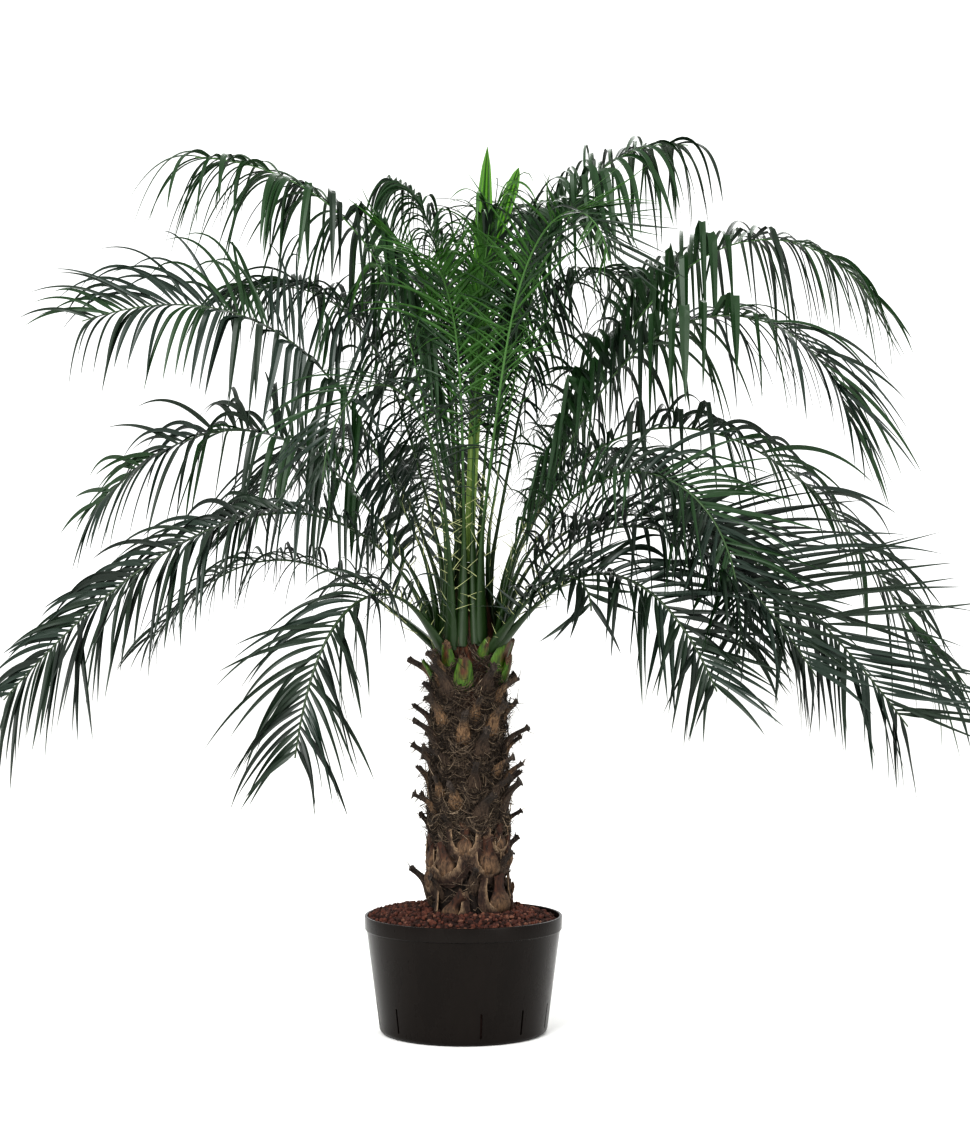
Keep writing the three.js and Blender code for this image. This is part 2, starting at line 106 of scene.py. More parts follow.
def carried(vectors: Array, old: Array, new: Array) -> Array:
    """Turns vectors by the smallest turn that takes one direction to another.

    Args:
        vectors: Vectors to turn.
        old: Unit directions before the turn.
        new: Unit directions after the turn.

    Returns:
        The turned vectors.
    """
    both = old + new
    share = dot(vectors, both) / np.maximum(1 + dot(old, new), 1e-6)
    return vectors + 2 * dot(vectors, old) * new - share * both


def polar(azimuth: Array, radius: Array, height: Array) -> Array:
    """Gives points from an azimuth in degrees, a radius and a height, along a new last axis."""
    angle = np.radians(azimuth)
    return np.stack(np.broadcast_arrays(radius * np.cos(angle), radius * np.sin(angle), height), -1)


def headings(paths: Array) -> Array:
    """Gives the unit direction of travel at each point of some paths, shaped (paths, points, 3)."""
    return unit(np.gradient(paths, axis=1))


def sides_along(paths: Array, first: Array) -> Array:
    """Carries a side direction along paths without twist.

    Args:
        paths: Points shaped (paths, points, 3).
        first: Side direction wanted at each path's start, shaped (paths, 3).

    Returns:
        Unit side directions shaped like paths.
    """
    ways = headings(paths)
    sides = np.empty_like(paths)
    sides[:, 0] = unit(first - dot(first, ways[:, 0]) * ways[:, 0])
    for i in range(1, paths.shape[1]):
        sides[:, i] = unit(carried(sides[:, i - 1], ways[:, i - 1], ways[:, i]))
    return sides


def ring_faces(*shape: int) -> tuple[Array, Array]:
    """Numbers the points of rings and joins each ring to the next.

    Args:
        shape: Counts of tubes, where there are several, of rings and of points in a ring.

    Returns:
        Point numbers in that shape, and four-cornered faces by ring.
    """
    index = np.arange(math.prod(shape)).reshape(shape)
    after = np.roll(index, -1, axis=-1)
    low, high = np.s_[..., :-1, :], np.s_[..., 1:, :]
    return index, np.stack((index[low], after[low], after[high], index[high]), -1)


@dataclass(frozen=True)
class Swept:
    """Tubes swept along paths: their points, wall faces by ring, and end faces."""

    points: Array
    walls: Array
    roots: Array
    tips: Array

    def groups(self) -> list[Array]:
        """Lists all faces as arrays of equal corner counts."""
        return [self.walls.reshape(-1, 4), self.roots, self.tips]


def sweep(paths: Array, sides: Array, widths: Array, heights: Array, section: Array) -> Swept:
    """Sweeps a closed section along paths.

    Args:
        paths: Centre points shaped (paths, points, 3).
        sides: Unit side directions shaped like paths.
        widths: Half widths along the sides, shaped (paths, points).
        heights: Half heights across the sides, shaped (paths, points).
        section: Outline shaped (corners, 2), in shares of the half width and half height.

    Returns:
        The swept tubes, with both ends closed.
    """
    normals = unit(np.cross(headings(paths), sides))
    across = section[:, 0] * widths[..., None]
    upward = section[:, 1] * heights[..., None]
    points = paths[:, :, None] + across[..., None] * sides[:, :, None]
    points += upward[..., None] * normals[:, :, None]
    index, walls = ring_faces(*points.shape[:-1])
    return Swept(points.reshape(-1, 3), walls, index[:, 0, ::-1], index[:, -1])


def round_section(corners: int) -> Array:
    """Outline of a round rod with a number of corners."""
    angle = np.linspace(0, 2 * math.pi, corners, endpoint=False)
    return np.stack((np.cos(angle), np.sin(angle)), -1)


def add_object(name: str, data: bpy.types.ID) -> bpy.types.Object:
    """Puts an object into the scene.

    Args:
        name: Name of the object.
        data: Its mesh, lamp or camera.

    Returns:
        The new object.
    """
    thing = bpy.data.objects.new(name, data)
    bpy.context.scene.collection.objects.link(thing)
    return thing


def add_node(
    tree: bpy.types.NodeTree,
    kind: str,
    settings: dict[str, object] | None = None,
    inputs: dict[str | int, object] | None = None,
    to: Socket | None = None,
) -> bpy.types.Node:
    """Adds a node with its settings and links.

    Args:
        tree: Node tree of a material or world.
        kind: Type name of the node.
        settings: Properties of the node.
        inputs: Values or output sockets for the node's inputs.
        to: Input socket that the node's first shown output feeds.

    Returns:
        The new node.
    """
    node = tree.nodes.new(kind)
    for key, value in (settings or {}).items():
        setattr(node, key, value)
    for key, value in (inputs or {}).items():
        if isinstance(value, Socket):
            tree.links.new(value, node.inputs[key])
        else:
            node.inputs[key].default_value = value
    if to is not None:
        tree.links.new(next(o for o in node.outputs if o.enabled), to)
    return node


@dataclass(frozen=True)
class Nodes:
    """Nodes of one material: their tree, and the shader that they feed."""

    tree: bpy.types.NodeTree
    shader: bpy.types.Node

    def place(self, squeeze: float) -> Socket:
        """Gives the place on a piece.

        Args:
            squeeze: Share of the height that is kept, which draws a pattern out upward.

        Returns:
            The place in metres.
        """
        spot = add_node(self.tree, "ShaderNodeTexCoord").outputs["Object"]
        inputs = {"Vector": spot, "Scale": (1, 1, squeeze)}
        return add_node(self.tree, "ShaderNodeMapping", None, inputs).outputs[0]

    def noise(self, size: float, squeeze: float = 1.0, detail: float = 2.0, rough: float = 0.5) -> Socket:
        """Adds a cloudy pattern with features of a size in millimetres."""
        inputs = {"Vector": self.place(squeeze), "Scale": per_metre(size), "Detail": detail}
        return add_node(self.tree, "ShaderNodeTexNoise", None, inputs | {"Roughness": rough}).outputs[0]

    def spread(self, value: Socket, *limits: float, to: Socket | None = None) -> Socket:
        """Spreads values between the first two limits over the last two."""
        inputs = {0: value} | dict(enumerate(limits, 1))
        return add_node(self.tree, "ShaderNodeMapRange", None, inputs, to).outputs[0]

    def blend(self, share: Socket, *inks: str | Socket, to: Socket | None = None) -> Socket:
        """Mixes two colours.

        Args:
            share: Share of the second colour.
            inks: Both colours, as hex codes or sockets.
            to: Input socket that the mix feeds.

        Returns:
            The mixed colour.
        """
        first, second = (linear(ink) if isinstance(ink, str) else ink for ink in inks)
        inputs = {0: share, 6: first, 7: second}
        return add_node(self.tree, "ShaderNodeMix", {"data_type": "RGBA"}, inputs, to).outputs[2]

    def relief(self, pattern: Socket, strength: float, depth: float) -> None:
        """Presses a pattern into the surface, to a depth in metres."""
        inputs = {"Strength": strength, "Distance": depth, "Height": pattern}
        add_node(self.tree, "ShaderNodeBump", None, inputs, self.shader.inputs["Normal"])


@dataclass(frozen=True)
class Finish:
    """A surface: its common name and make, colour, roughness and refraction.

    The kinds below add patterns, with sizes in millimetres and depths of relief in metres.
    """

    name: str
    colour: str
    roughness: float
    ior: float = 1.5

    def make(self) -> bpy.types.Material:
        """Makes the material on its first use.

        Returns:
            The material, the same one each time.
        """
        known = bpy.data.materials.get(self.name)
        if known:
            return known
        material = bpy.data.materials.new(self.name)
        material.use_nodes = True
        shader = material.node_tree.nodes["Principled BSDF"]
        shader.inputs["Base Color"].default_value = linear(self.colour)
        shader.inputs["Roughness"].default_value = self.roughness
        shader.inputs["IOR"].default_value = self.ior
        self.texture(Nodes(material.node_tree, shader))
        return material

    def texture(self, nodes: Nodes) -> None:
        """Adds the surface's own pattern; a plain finish has none."""


@dataclass(frozen=True)
class MouldedPlastic(Finish):
    """Polypropylene, injection moulded: smooth walls with a soft gloss and faint scuffs from handling."""

    skin: float = 0.16
    scuff: float = 38
    scuff_colour: str = "#211c19"
    grain: float = 1.6

    def texture(self, nodes: Nodes) -> None:
        """Adds cloudy scuffs to colour and gloss, and a moulded grain drawn coarse enough to show.

        The skin is carbon black through and through and micro-rough, so it gives back little of a white room.

        Args:
            nodes: Nodes of the material.
        """
        sockets = nodes.shader.inputs
        sockets["Specular IOR Level"].default_value = self.skin
        cloud = nodes.noise(self.scuff, 0.35, 5, 0.6)
        nodes.blend(cloud, self.colour, self.scuff_colour, to=sockets["Base Color"])
        nodes.spread(cloud, 0.3, 0.7, self.roughness - 0.05, self.roughness + 0.1, to=sockets["Roughness"])
        nodes.relief(nodes.noise(self.grain), 0.12, 0.0004)


@dataclass(frozen=True)
class FiredClay(Finish):
    """Clay granules, kiln fired: dull, porous and dusty, with pits that hold the shade."""

    pit: float = 1.4

    def texture(self, nodes: Nodes) -> None:
        """Adds open pores."""
        nodes.relief(nodes.noise(self.pit, detail=3), 0.7, 0.0008)


@dataclass(frozen=True)
class DriedTissue(Finish):
    """Dried palm tissue: dull, fibrous and weathered, streaked along its grain.

    Where a piece keeps a tone on its points, the colour passes into a second one as the tone goes to 1.
    """

    streak_colour: str = "#1d1510"
    grain: float = 2.4
    squeeze: float = 0.16
    depth: float = 0.0012
    aged_colour: str = ""
    aged_streak: str = "#1b130e"

    def texture(self, nodes: Nodes) -> None:
        """Adds grain that runs up the trunk, in colour and relief, and the passage to the second colour.

        Args:
            nodes: Nodes of the material.
        """
        base = nodes.shader.inputs["Base Color"]
        grain = nodes.noise(self.grain, self.squeeze, 6, 0.65)
        share = nodes.spread(grain, 0.36, 0.62, 0, 1)
        fresh = nodes.blend(share, self.streak_colour, self.colour, to=base)
        if self.aged_colour:
            aged = nodes.blend(share, self.aged_streak, self.aged_colour)
            uneven = nodes.spread(nodes.noise(self.grain * 4, detail=3), 0.25, 0.75, -0.35, 0.35)
            tone = add_node(nodes.tree, "ShaderNodeAttribute", {"attribute_name": TONE}).outputs["Fac"]
            level = add_node(nodes.tree, "ShaderNodeMath", {"use_clamp": True}, {0: tone, 1: uneven})
            nodes.blend(level.outputs[0], fresh, aged, to=base)
        nodes.relief(grain, 0.8, self.depth)


@dataclass(frozen=True)
class LivingSkin(Finish):
    """Living palm leaf: a smooth waxy skin with a satin sheen over fine veins."""

    vein: float = 1.8
    wax: float = 0.04

    def texture(self, nodes: Nodes) -> None:
        """Adds the wax as a thin coat, and veins drawn coarser than life so that they show.

        Args:
            nodes: Nodes of the material.
        """
        nodes.shader.inputs["Coat Weight"].default_value = self.wax
        nodes.shader.inputs["Coat Roughness"].default_value = 0.35
        nodes.relief(nodes.noise(self.vein), 0.15, 0.0005)


@dataclass(frozen=True)
class PaintedBoard(Finish):
    """Studio floor, board rolled with matt paint: pale, with a faint roller stipple."""

    stipple: float = 3.0

    def texture(self, nodes: Nodes) -> None:
        """Adds the stipple."""
        nodes.relief(nodes.noise(self.stipple), 0.05, 0.0005)


POT_PLASTIC = MouldedPlastic("polypropylene_moulded_black", "#14110f", 0.25, 1.49)
CLAY_TINTS = (
    FiredClay("clay_granule_fired_umber", "#311e18", 0.95),
    FiredClay("clay_granule_fired_brown", "#482b23", 0.93),
    FiredClay("clay_granule_fired_red", "#583428", 0.92),
    FiredClay("clay_granule_fired_dusty", "#6b4b3d", 0.95),
)
CLAY_BED = FiredClay("clay_bed_fired_dark", "#2b1a15", 0.97, 1.5, 5.0)
# Dark core of the low stem: partly the bark's own dark brown, partly painted shade for the gaps between the
# leaf bases.
BARK = DriedTissue("palm_bark_weathered_dark", "#261c15", 0.95, 1.5, "#0f0a07")
FIBRE_MAT = DriedTissue(
    "palm_fibre_matted_dark", "#5c4f44", 0.95, 1.5, "#352b24", aged_colour="#5a3421", aged_streak="#26150d"
)
HEART = DriedTissue(
    "leaf_sheath_dried_red", "#5a3421", 0.85, 1.5, "#26150d", aged_colour="#2c3f16", aged_streak="#18240b"
)
BULGED_BASE = DriedTissue(
    "leaf_base_dried_tan", "#6b5540", 0.82, 1.5, "#2e2117", 3.8, 0.35, 0.001, "#45291b", "#1a0f09"
)
PALE_BASE = DriedTissue(
    "leaf_base_dried_cream", "#a8937b", 0.8, 1.5, "#55432f", 4.6, 0.4, 0.0008, "#4f2e1e", "#22130b"
)
WEDGE_BASE = DriedTissue(
    "leaf_base_dried_umber", "#846b51", 0.88, 1.5, "#3a2b1f", 2.6, 0.14, 0.0014, "#463d36", "#1d1814"
)
DARK_WEDGE = DriedTissue(
    "leaf_base_weathered_dark", "#4d3f33", 0.9, 1.5, "#241a13", 2.6, 0.14, 0.0014, "#3b332d", "#191410"
)
SHEATH_CUP = DriedTissue(
    "leaf_sheath_dried_papery", "#3b2a22", 0.88, 1.5, "#1b120d", 2.4, 0.3, 0.001, "#9a856d", "#62503d"
)
TORN_END = DriedTissue("leaf_stalk_torn_brown", "#6f5a48", 0.9, 1.5, "#2c1c12", 1.8, 1.0)
STICK_END = DriedTissue("leaf_stalk_weathered_grey", "#443c36", 0.93, 1.5, "#1d1814")
GREEN_BASE = DriedTissue(
    "leaf_base_fresh_green", "#4a6a1b", 0.5, 1.45, "#243d10", 3.0, 0.16, 0.0004, "#57341f", "#2a180e"
)
FADING_BASE = DriedTissue(
    "leaf_base_fading_tan", "#7f6a56", 0.75, 1.45, "#372619", 3.8, 0.2, 0.0008, "#47522a", "#2a2f17"
)
OLIVE_BASE = DriedTissue(
    "leaf_base_fading_olive", "#535c31", 0.6, 1.45, "#30371b", 3.0, 0.16, 0.0006, "#5b4330", "#2a1c12"
)
FIBRE_TINTS = (
    DriedTissue("palm_fibre_loose_dark", "#493f36", 0.92),
    DriedTissue("palm_fibre_loose_brown", "#766859", 0.92, 1.5, "#352b23"),
    DriedTissue("palm_fibre_loose_straw", "#a89883", 0.9, 1.5, "#685847"),
)
STALK_FOOT = "#1b320d"
STALK_STEPS = 5
SPEAR_FOOT = LivingSkin("leaf_spear_folded_pale", "#6f8446", 0.48, 1.42)
THORN = LivingSkin("leaf_thorn_horny_straw", "#a0a378", 0.5)
FLOOR_PAINT = PaintedBoard("board_painted_white", "#f4f4f2", 0.8)


class LeafTint(Enum):
    """Greens of the leaflets, from the old outer fronds to the unfolding heart."""

    DEEP = LivingSkin("leaflet_waxy_deep", "#152018", 0.45, 1.42)
    DARK = LivingSkin("leaflet_waxy_dark", "#18281a", 0.45, 1.42)
    SLATE = LivingSkin("leaflet_waxy_slate", "#1e2d24", 0.42, 1.42)
    MID = LivingSkin("leaflet_waxy_green", "#1d381b", 0.45, 1.42)
    FRESH = LivingSkin("leaflet_waxy_fresh", "#2f541d", 0.45, 1.42)
    BRIGHT = LivingSkin("leaflet_waxy_bright", "#4d7a20", 0.48, 1.42)


class FrondAge(Enum):
    """Age groups of fronds: material slot, number of the youngest frond, colour of the rib and leaf tints."""

    OLD = ("old_fronds", 10, "#2e3e26", (LeafTint.DEEP, LeafTint.DARK, LeafTint.SLATE))
    MATURE = ("mature_fronds", 19, "#334a28", (LeafTint.DARK, LeafTint.MID, LeafTint.SLATE))
    YOUNG = ("young_fronds", 28, "#426432", (LeafTint.MID, LeafTint.FRESH, LeafTint.DARK))

    @property
    def slot(self) -> str:
        """Material slot of the record."""
        return self.value[0]

    @property
    def last(self) -> int:
        """Number of the group's youngest frond."""
        return self.value[1]

    @property
    def stalks(self) -> tuple[LivingSkin, ...]:
        """Finishes of the group's stalks, from the dark foot to the paler rib."""
        steps = range(STALK_STEPS)
        codes = (mixed(STALK_FOOT, self.value[2], step / (STALK_STEPS - 1)) for step in steps)
        names = (f"leaf_stalk_smooth_{self.name.lower()}_{step}" for step in steps)
        return tuple(LivingSkin(name, code, 0.45, 1.45) for name, code in zip(names, codes))

    @property
    def tints(self) -> tuple[LeafTint, ...]:
        """Leaf tints that the group's sprays are dealt."""
        return self.value[3]


class MeshHeap:
    """Many small things of one kind, gathered and joined into one piece."""

    def __init__(self, name: str, *finishes: Finish) -> None:
        """Starts an empty heap.

        Args:
            name: Name of the piece.
            finishes: Finishes that its faces take by number.
        """
        self.name = name
        self.finishes = finishes
        self.points: list[Array] = []
        self.tones: list[Array] = []
        self.faces: list[list[int]] = []
        self.slots: list[int] = []
        self.count = 0

    def add(self, points: Array, groups: dict[int, Sequence[Array]], tone: Array | float = 0.0) -> None:
        """Adds points and their faces.

        Args:
            points: Points in millimetres, shaped (points, 3).
            groups: Arrays of faces that index these points, by the number of their finish.
            tone: Passage to the finish's second colour, for all points or for each.
        """
        for slot, arrays in groups.items():
            for faces in arrays:
                self.faces.extend((faces + self.count).tolist())
                self.slots.extend([slot] * len(faces))
        self.points.append(points)
        self.tones.append(np.broadcast_to(tone, len(points)))
        self.count += len(points)

    def make(self, slot: str, nodes: Sequence[str], sharp: float = 180) -> bpy.types.Object:
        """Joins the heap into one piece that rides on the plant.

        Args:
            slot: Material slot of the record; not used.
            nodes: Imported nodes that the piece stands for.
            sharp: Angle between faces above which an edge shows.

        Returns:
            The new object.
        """
        mesh = bpy.data.meshes.new(self.name)
        mesh.from_pydata((np.concatenate(self.points) * METRE).tolist(), [], self.faces)
        mesh.polygons.foreach_set("material_index", self.slots)
        mesh.shade_smooth()
        mesh.set_sharp_from_angle(angle=math.radians(sharp))
        tones = np.concatenate(self.tones)
        if tones.any():
            mesh.attributes.new(TONE, "FLOAT", "POINT").data.foreach_set("value", tones)
        for finish in self.finishes:
            mesh.materials.append(finish.make())
        piece = add_object(self.name, mesh)
        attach(piece, BODY)
        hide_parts(*nodes)
        LOG.info("%s: %d faces", self.name, len(self.faces))
        return piece


@dataclass
class NurseryPot:
    """Tapered tub with a stepped rim band and drainage slits round its foot."""

    height: float = 183
    foot_radius: float = 132
    rim_radius: float = 155
    rim_band: float = 22
    rim_step: float = 3
    edge: float = 1
    wall: float = 2.6
    lip_width: float = 4.5
    floor: float = 5
    foot_round: float = 9
    segments: int = 192
    slit_count: int = 12
    slit_width: float = 3.2
    slit_height: float = 39
    slit_bottom: float = 12
    slit_azimuth: float = -78
    slit_corners: int = 16
    sharp: float = 24

    def wall_radius(self, height: float) -> float:
        """Outer radius of the leaning wall.

        Args:
            height: Height above the floor.

        Returns:
            Radius in millimetres.
        """
        top = self.height - self.rim_band
        share = (height - self.foot_round) / (top - self.foot_round)
        return lerp(self.foot_radius, self.rim_radius - self.rim_step, share)

    def outline(self) -> Array:
        """Gives the turned outline, from the middle of the underside round to the middle of the floor.

        Returns:
            Radius and height of each point.
        """
        band = self.height - self.rim_band
        foot = self.foot_radius - self.foot_round
        turn = np.radians(np.linspace(-90, 0, 8))
        arc = [(foot + self.foot_round * math.cos(a), self.foot_round * (1 + math.sin(a))) for a in turn]
        inner = self.rim_radius - self.lip_width
        rows = [
            (foot * 0.1, 0),
            *arc,
            (self.wall_radius(band - 2 * self.edge), band - 2 * self.edge),
            (self.wall_radius(band) + self.edge * 0.4, band - self.edge * 0.4),
            (self.rim_radius - self.edge * 1.2, band + self.edge * 0.2),
            (self.rim_radius - self.edge * 0.5, band + self.edge),
            (self.rim_radius, self.height - self.edge * 1.6),
            (self.rim_radius - self.edge * 0.3, self.height - self.edge * 0.5),
            (self.rim_radius - self.edge, self.height),
            (inner + self.edge, self.height),
            (inner + self.edge * 0.2, self.height - self.edge * 0.6),
            (self.wall_radius(band) - self.wall, band - self.edge),
            (self.foot_radius - self.wall, self.foot_round + self.wall),
            (foot - self.wall, self.floor),
            (foot * 0.1, self.floor),
        ]
        return np.array(rows, float)

    def cutter(self) -> bpy.types.Object:
        """Builds the round-ended blocks that cut the slits.

        Returns:
            All blocks as one object.
        """
        shape = bmesh.new()
        corners = self.slit_corners
        half = self.slit_width / 2 * METRE
        top = (self.slit_height - self.slit_width) / 2 * METRE
        middle = self.slit_bottom + self.slit_height / 2
        for i in range(self.slit_count):
            azimuth = self.slit_azimuth + 360 / self.slit_count * i
            across = polar(azimuth + 90, 1.0, 0.0)
            ends = []
            for depth in (-self.foot_round, self.foot_round):
                ring = bmesh.ops.create_circle(shape, cap_ends=True, segments=corners, radius=half)["verts"]
                place = polar(azimuth, self.wall_radius(middle) + depth, middle) * METRE
                for vertex in ring:
                    y, z, _ = vertex.co
                    z += top if z > 0 else -top
                    vertex.co = Vector(place + across * y) + Vector((0, 0, z))
                ends.append(ring)
            for a in range(corners):
                b = (a + 1) % corners
                shape.faces.new((ends[0][a], ends[0][b], ends[1][b], ends[1][a]))
        bmesh.ops.recalc_face_normals(shape, faces=shape.faces)
        mesh = bpy.data.meshes.new("slit_cutter")
        shape.to_mesh(mesh)
        shape.free()
        return add_object("slit_cutter", mesh)

    def build(self) -> bpy.types.Object:
        """Turns the pot, cuts its slits and dresses it.

        Returns:
            The pot.
        """
        outline = self.outline()
        azimuth = np.linspace(0, 360, self.segments, endpoint=False)
        points = polar(azimuth[None], outline[:, :1], outline[:, 1:])
        index, walls = ring_faces(*points.shape[:-1])
        heap = MeshHeap("pot_body", POT_PLASTIC)
        heap.add(points.reshape(-1, 3), {0: [walls.reshape(-1, 4), index[:1, ::-1], index[-1:]]})
        pot = heap.make("pot", ["pot"], self.sharp)
        cutter = self.cutter()
        cut = pot.modifiers.new("slits", "BOOLEAN")
        cut.object = cutter
        cut.operation = "DIFFERENCE"
        made = bpy.data.meshes.new_from_object(pot.evaluated_get(bpy.context.evaluated_depsgraph_get()))
        pot.modifiers.clear()
        pot.data = made
        made.name = "pot_body"
        made.set_sharp_from_angle(angle=math.radians(self.sharp))
        bpy.data.objects.remove(cutter)
        return pot


@dataclass
class ClayGranulate:
    """Clay granules over a filled pot, heaped a little towards the back left."""

    pot: NurseryPot
    mound_height: float = 192.6
    mound_radius: float = 98
    edge_height: float = 178
    edge_tilt: float = 5
    high_azimuth: float = 150
    gap: float = 0.4
    segments: int = 96
    bed_radii: tuple[float, ...] = (149.1, 124, 98, 60, 8)
    bed_drop: float = 2.5
    count: int = 2300
    smallest: float = 2.3
    largest: float = 4.4
    trunk_x: float = 8
    trunk_radius: float = 62

    def surface(self, radius: Array, azimuth: Array) -> Array:
        """Height of the mound.

        Args:
            radius: Distance from the pot's axis.
            azimuth: Direction in degrees.

        Returns:
            Height above the floor.
        """
        edge_radius = self.pot.rim_radius - self.pot.lip_width
        share = np.clip((radius - self.mound_radius) / (edge_radius - self.mound_radius), 0, 1)
        tilt = self.edge_tilt * np.cos(np.radians(azimuth - self.high_azimuth))
        return lerp(self.mound_height, self.edge_height + tilt, share)

    def bed(self) -> None:
        """Builds the filling under the granules, which also shows through the slits."""
        pot = self.pot
        gap = pot.wall + self.gap
        band = pot.height - pot.rim_band
        foot = pot.foot_radius - pot.foot_round
        rings = [
            (foot * 0.1, pot.floor + self.gap),
            (foot - gap, pot.floor + self.gap),
            (pot.foot_radius - gap, pot.foot_round + gap),
            (pot.wall_radius(band) - gap, band - pot.edge),
        ]
        azimuth = np.linspace(0, 360, self.segments, endpoint=False)
        rows = [polar(azimuth, radius, height) for radius, height in rings]
        for radius in self.bed_radii:
            rows.append(polar(azimuth, radius, self.surface(radius, azimuth) - self.bed_drop))
        index, walls = ring_faces(len(rows), self.segments)
        heap = MeshHeap("granulate_bed", CLAY_BED)
        heap.add(np.concatenate(rows), {0: [walls.reshape(-1, 4), index[:1, ::-1], index[-1:]]})
        heap.make("granulate", ["granulate"], 40)

    def granules(self) -> None:
        """Strews lumpy granules over the mound, dealt out in several tints."""
        dice = np.random.default_rng(7)
        shape = bmesh.new()
        bmesh.ops.create_icosphere(shape, subdivisions=2, radius=1)
        ball = np.array([v.co for v in shape.verts])
        faces = np.array([[v.index for v in f.verts] for f in shape.faces])
        shape.free()
        reach = self.pot.rim_radius - self.pot.lip_width - 4
        share = (np.arange(self.count) + 0.5) / self.count
        azimuth = GOLDEN_TURN * np.arange(self.count) + dice.normal(0, 3, self.count)
        radius = np.clip(reach * np.sqrt(share) + dice.normal(0, 2.2, self.count), 0, reach)
        size = dice.uniform(self.smallest, self.largest, self.count)
        sunk = dice.uniform(-0.6, 0.55, self.count) * size
        centre = polar(azimuth, radius, self.surface(radius, azimuth) + sunk - 1.2)
        free = np.hypot(centre[:, 0] - self.trunk_x, centre[:, 1]) > self.trunk_radius
        tint = dice.choice(len(CLAY_TINTS), self.count, p=(0.3, 0.37, 0.24, 0.09))
        lumps = ball[None] * dice.uniform(0.78, 1.12, (self.count, len(ball), 1))
        stretch = dice.uniform(0.75, 1.2, (self.count, 1, 3))
        points = centre[:, None] + lumps * stretch * size[:, None, None]
        for number, finish in enumerate(CLAY_TINTS):
            heap = MeshHeap(f"granules_{finish.name.split('_')[-1]}", finish)
            for i in np.flatnonzero(free & (tint == number)):
                heap.add(points[i], {0: [faces]})
            heap.make("granulate", ["granulate"], 50)

    def build(self) -> None:
        """Builds the bed and the granules on it."""
        self.bed()
        self.granules()


class BootKind(Enum):
    """Cut leaf bases by age. Rows give out from the stem, up, half width and half depth."""

    BULGED = (
        (-8, 0, 7, 4), (0, 2, 13, 9), (5, 8, 17, 12), (7, 15, 17.5, 12), (7, 22, 14.5, 10),
        (6, 28, 10, 7), (8, 36, 8, 5), (10, 45, 8.5, 4.2), (11, 51, 10, 3.6),
    )
    STICK = (
        (-14, 0, 13, 6), (-7, 9, 14.5, 7), (-1, 19, 14, 7), (4, 29, 12, 6), (8, 37, 9, 5),
        (14, 44, 6.6, 4.2), (22, 50, 5.2, 3.6), (30, 55, 4.8, 3.4), (35, 59, 6, 4.4),
    )
    GREEN = (
        (-8, 0, 11, 5), (0, 3, 15, 8), (4, 13, 15.5, 8.5), (8, 24, 14, 7),
        (12, 34, 12, 5.5), (15, 41, 10.5, 4.5), (16, 44, 10, 4),
    )

    @property
    def rows(self) -> Array:
        """Rows of the kind as an array."""
        return np.array(self.value, float)


@dataclass(frozen=True)
class Boot:
    """One cut leaf base: its kind, foot and centre line, side directions, half widths and half depths."""

    kind: BootKind
    azimuth: float
    bottom: float
    path: Array
    sides: Array
    wide: Array
    deep: Array


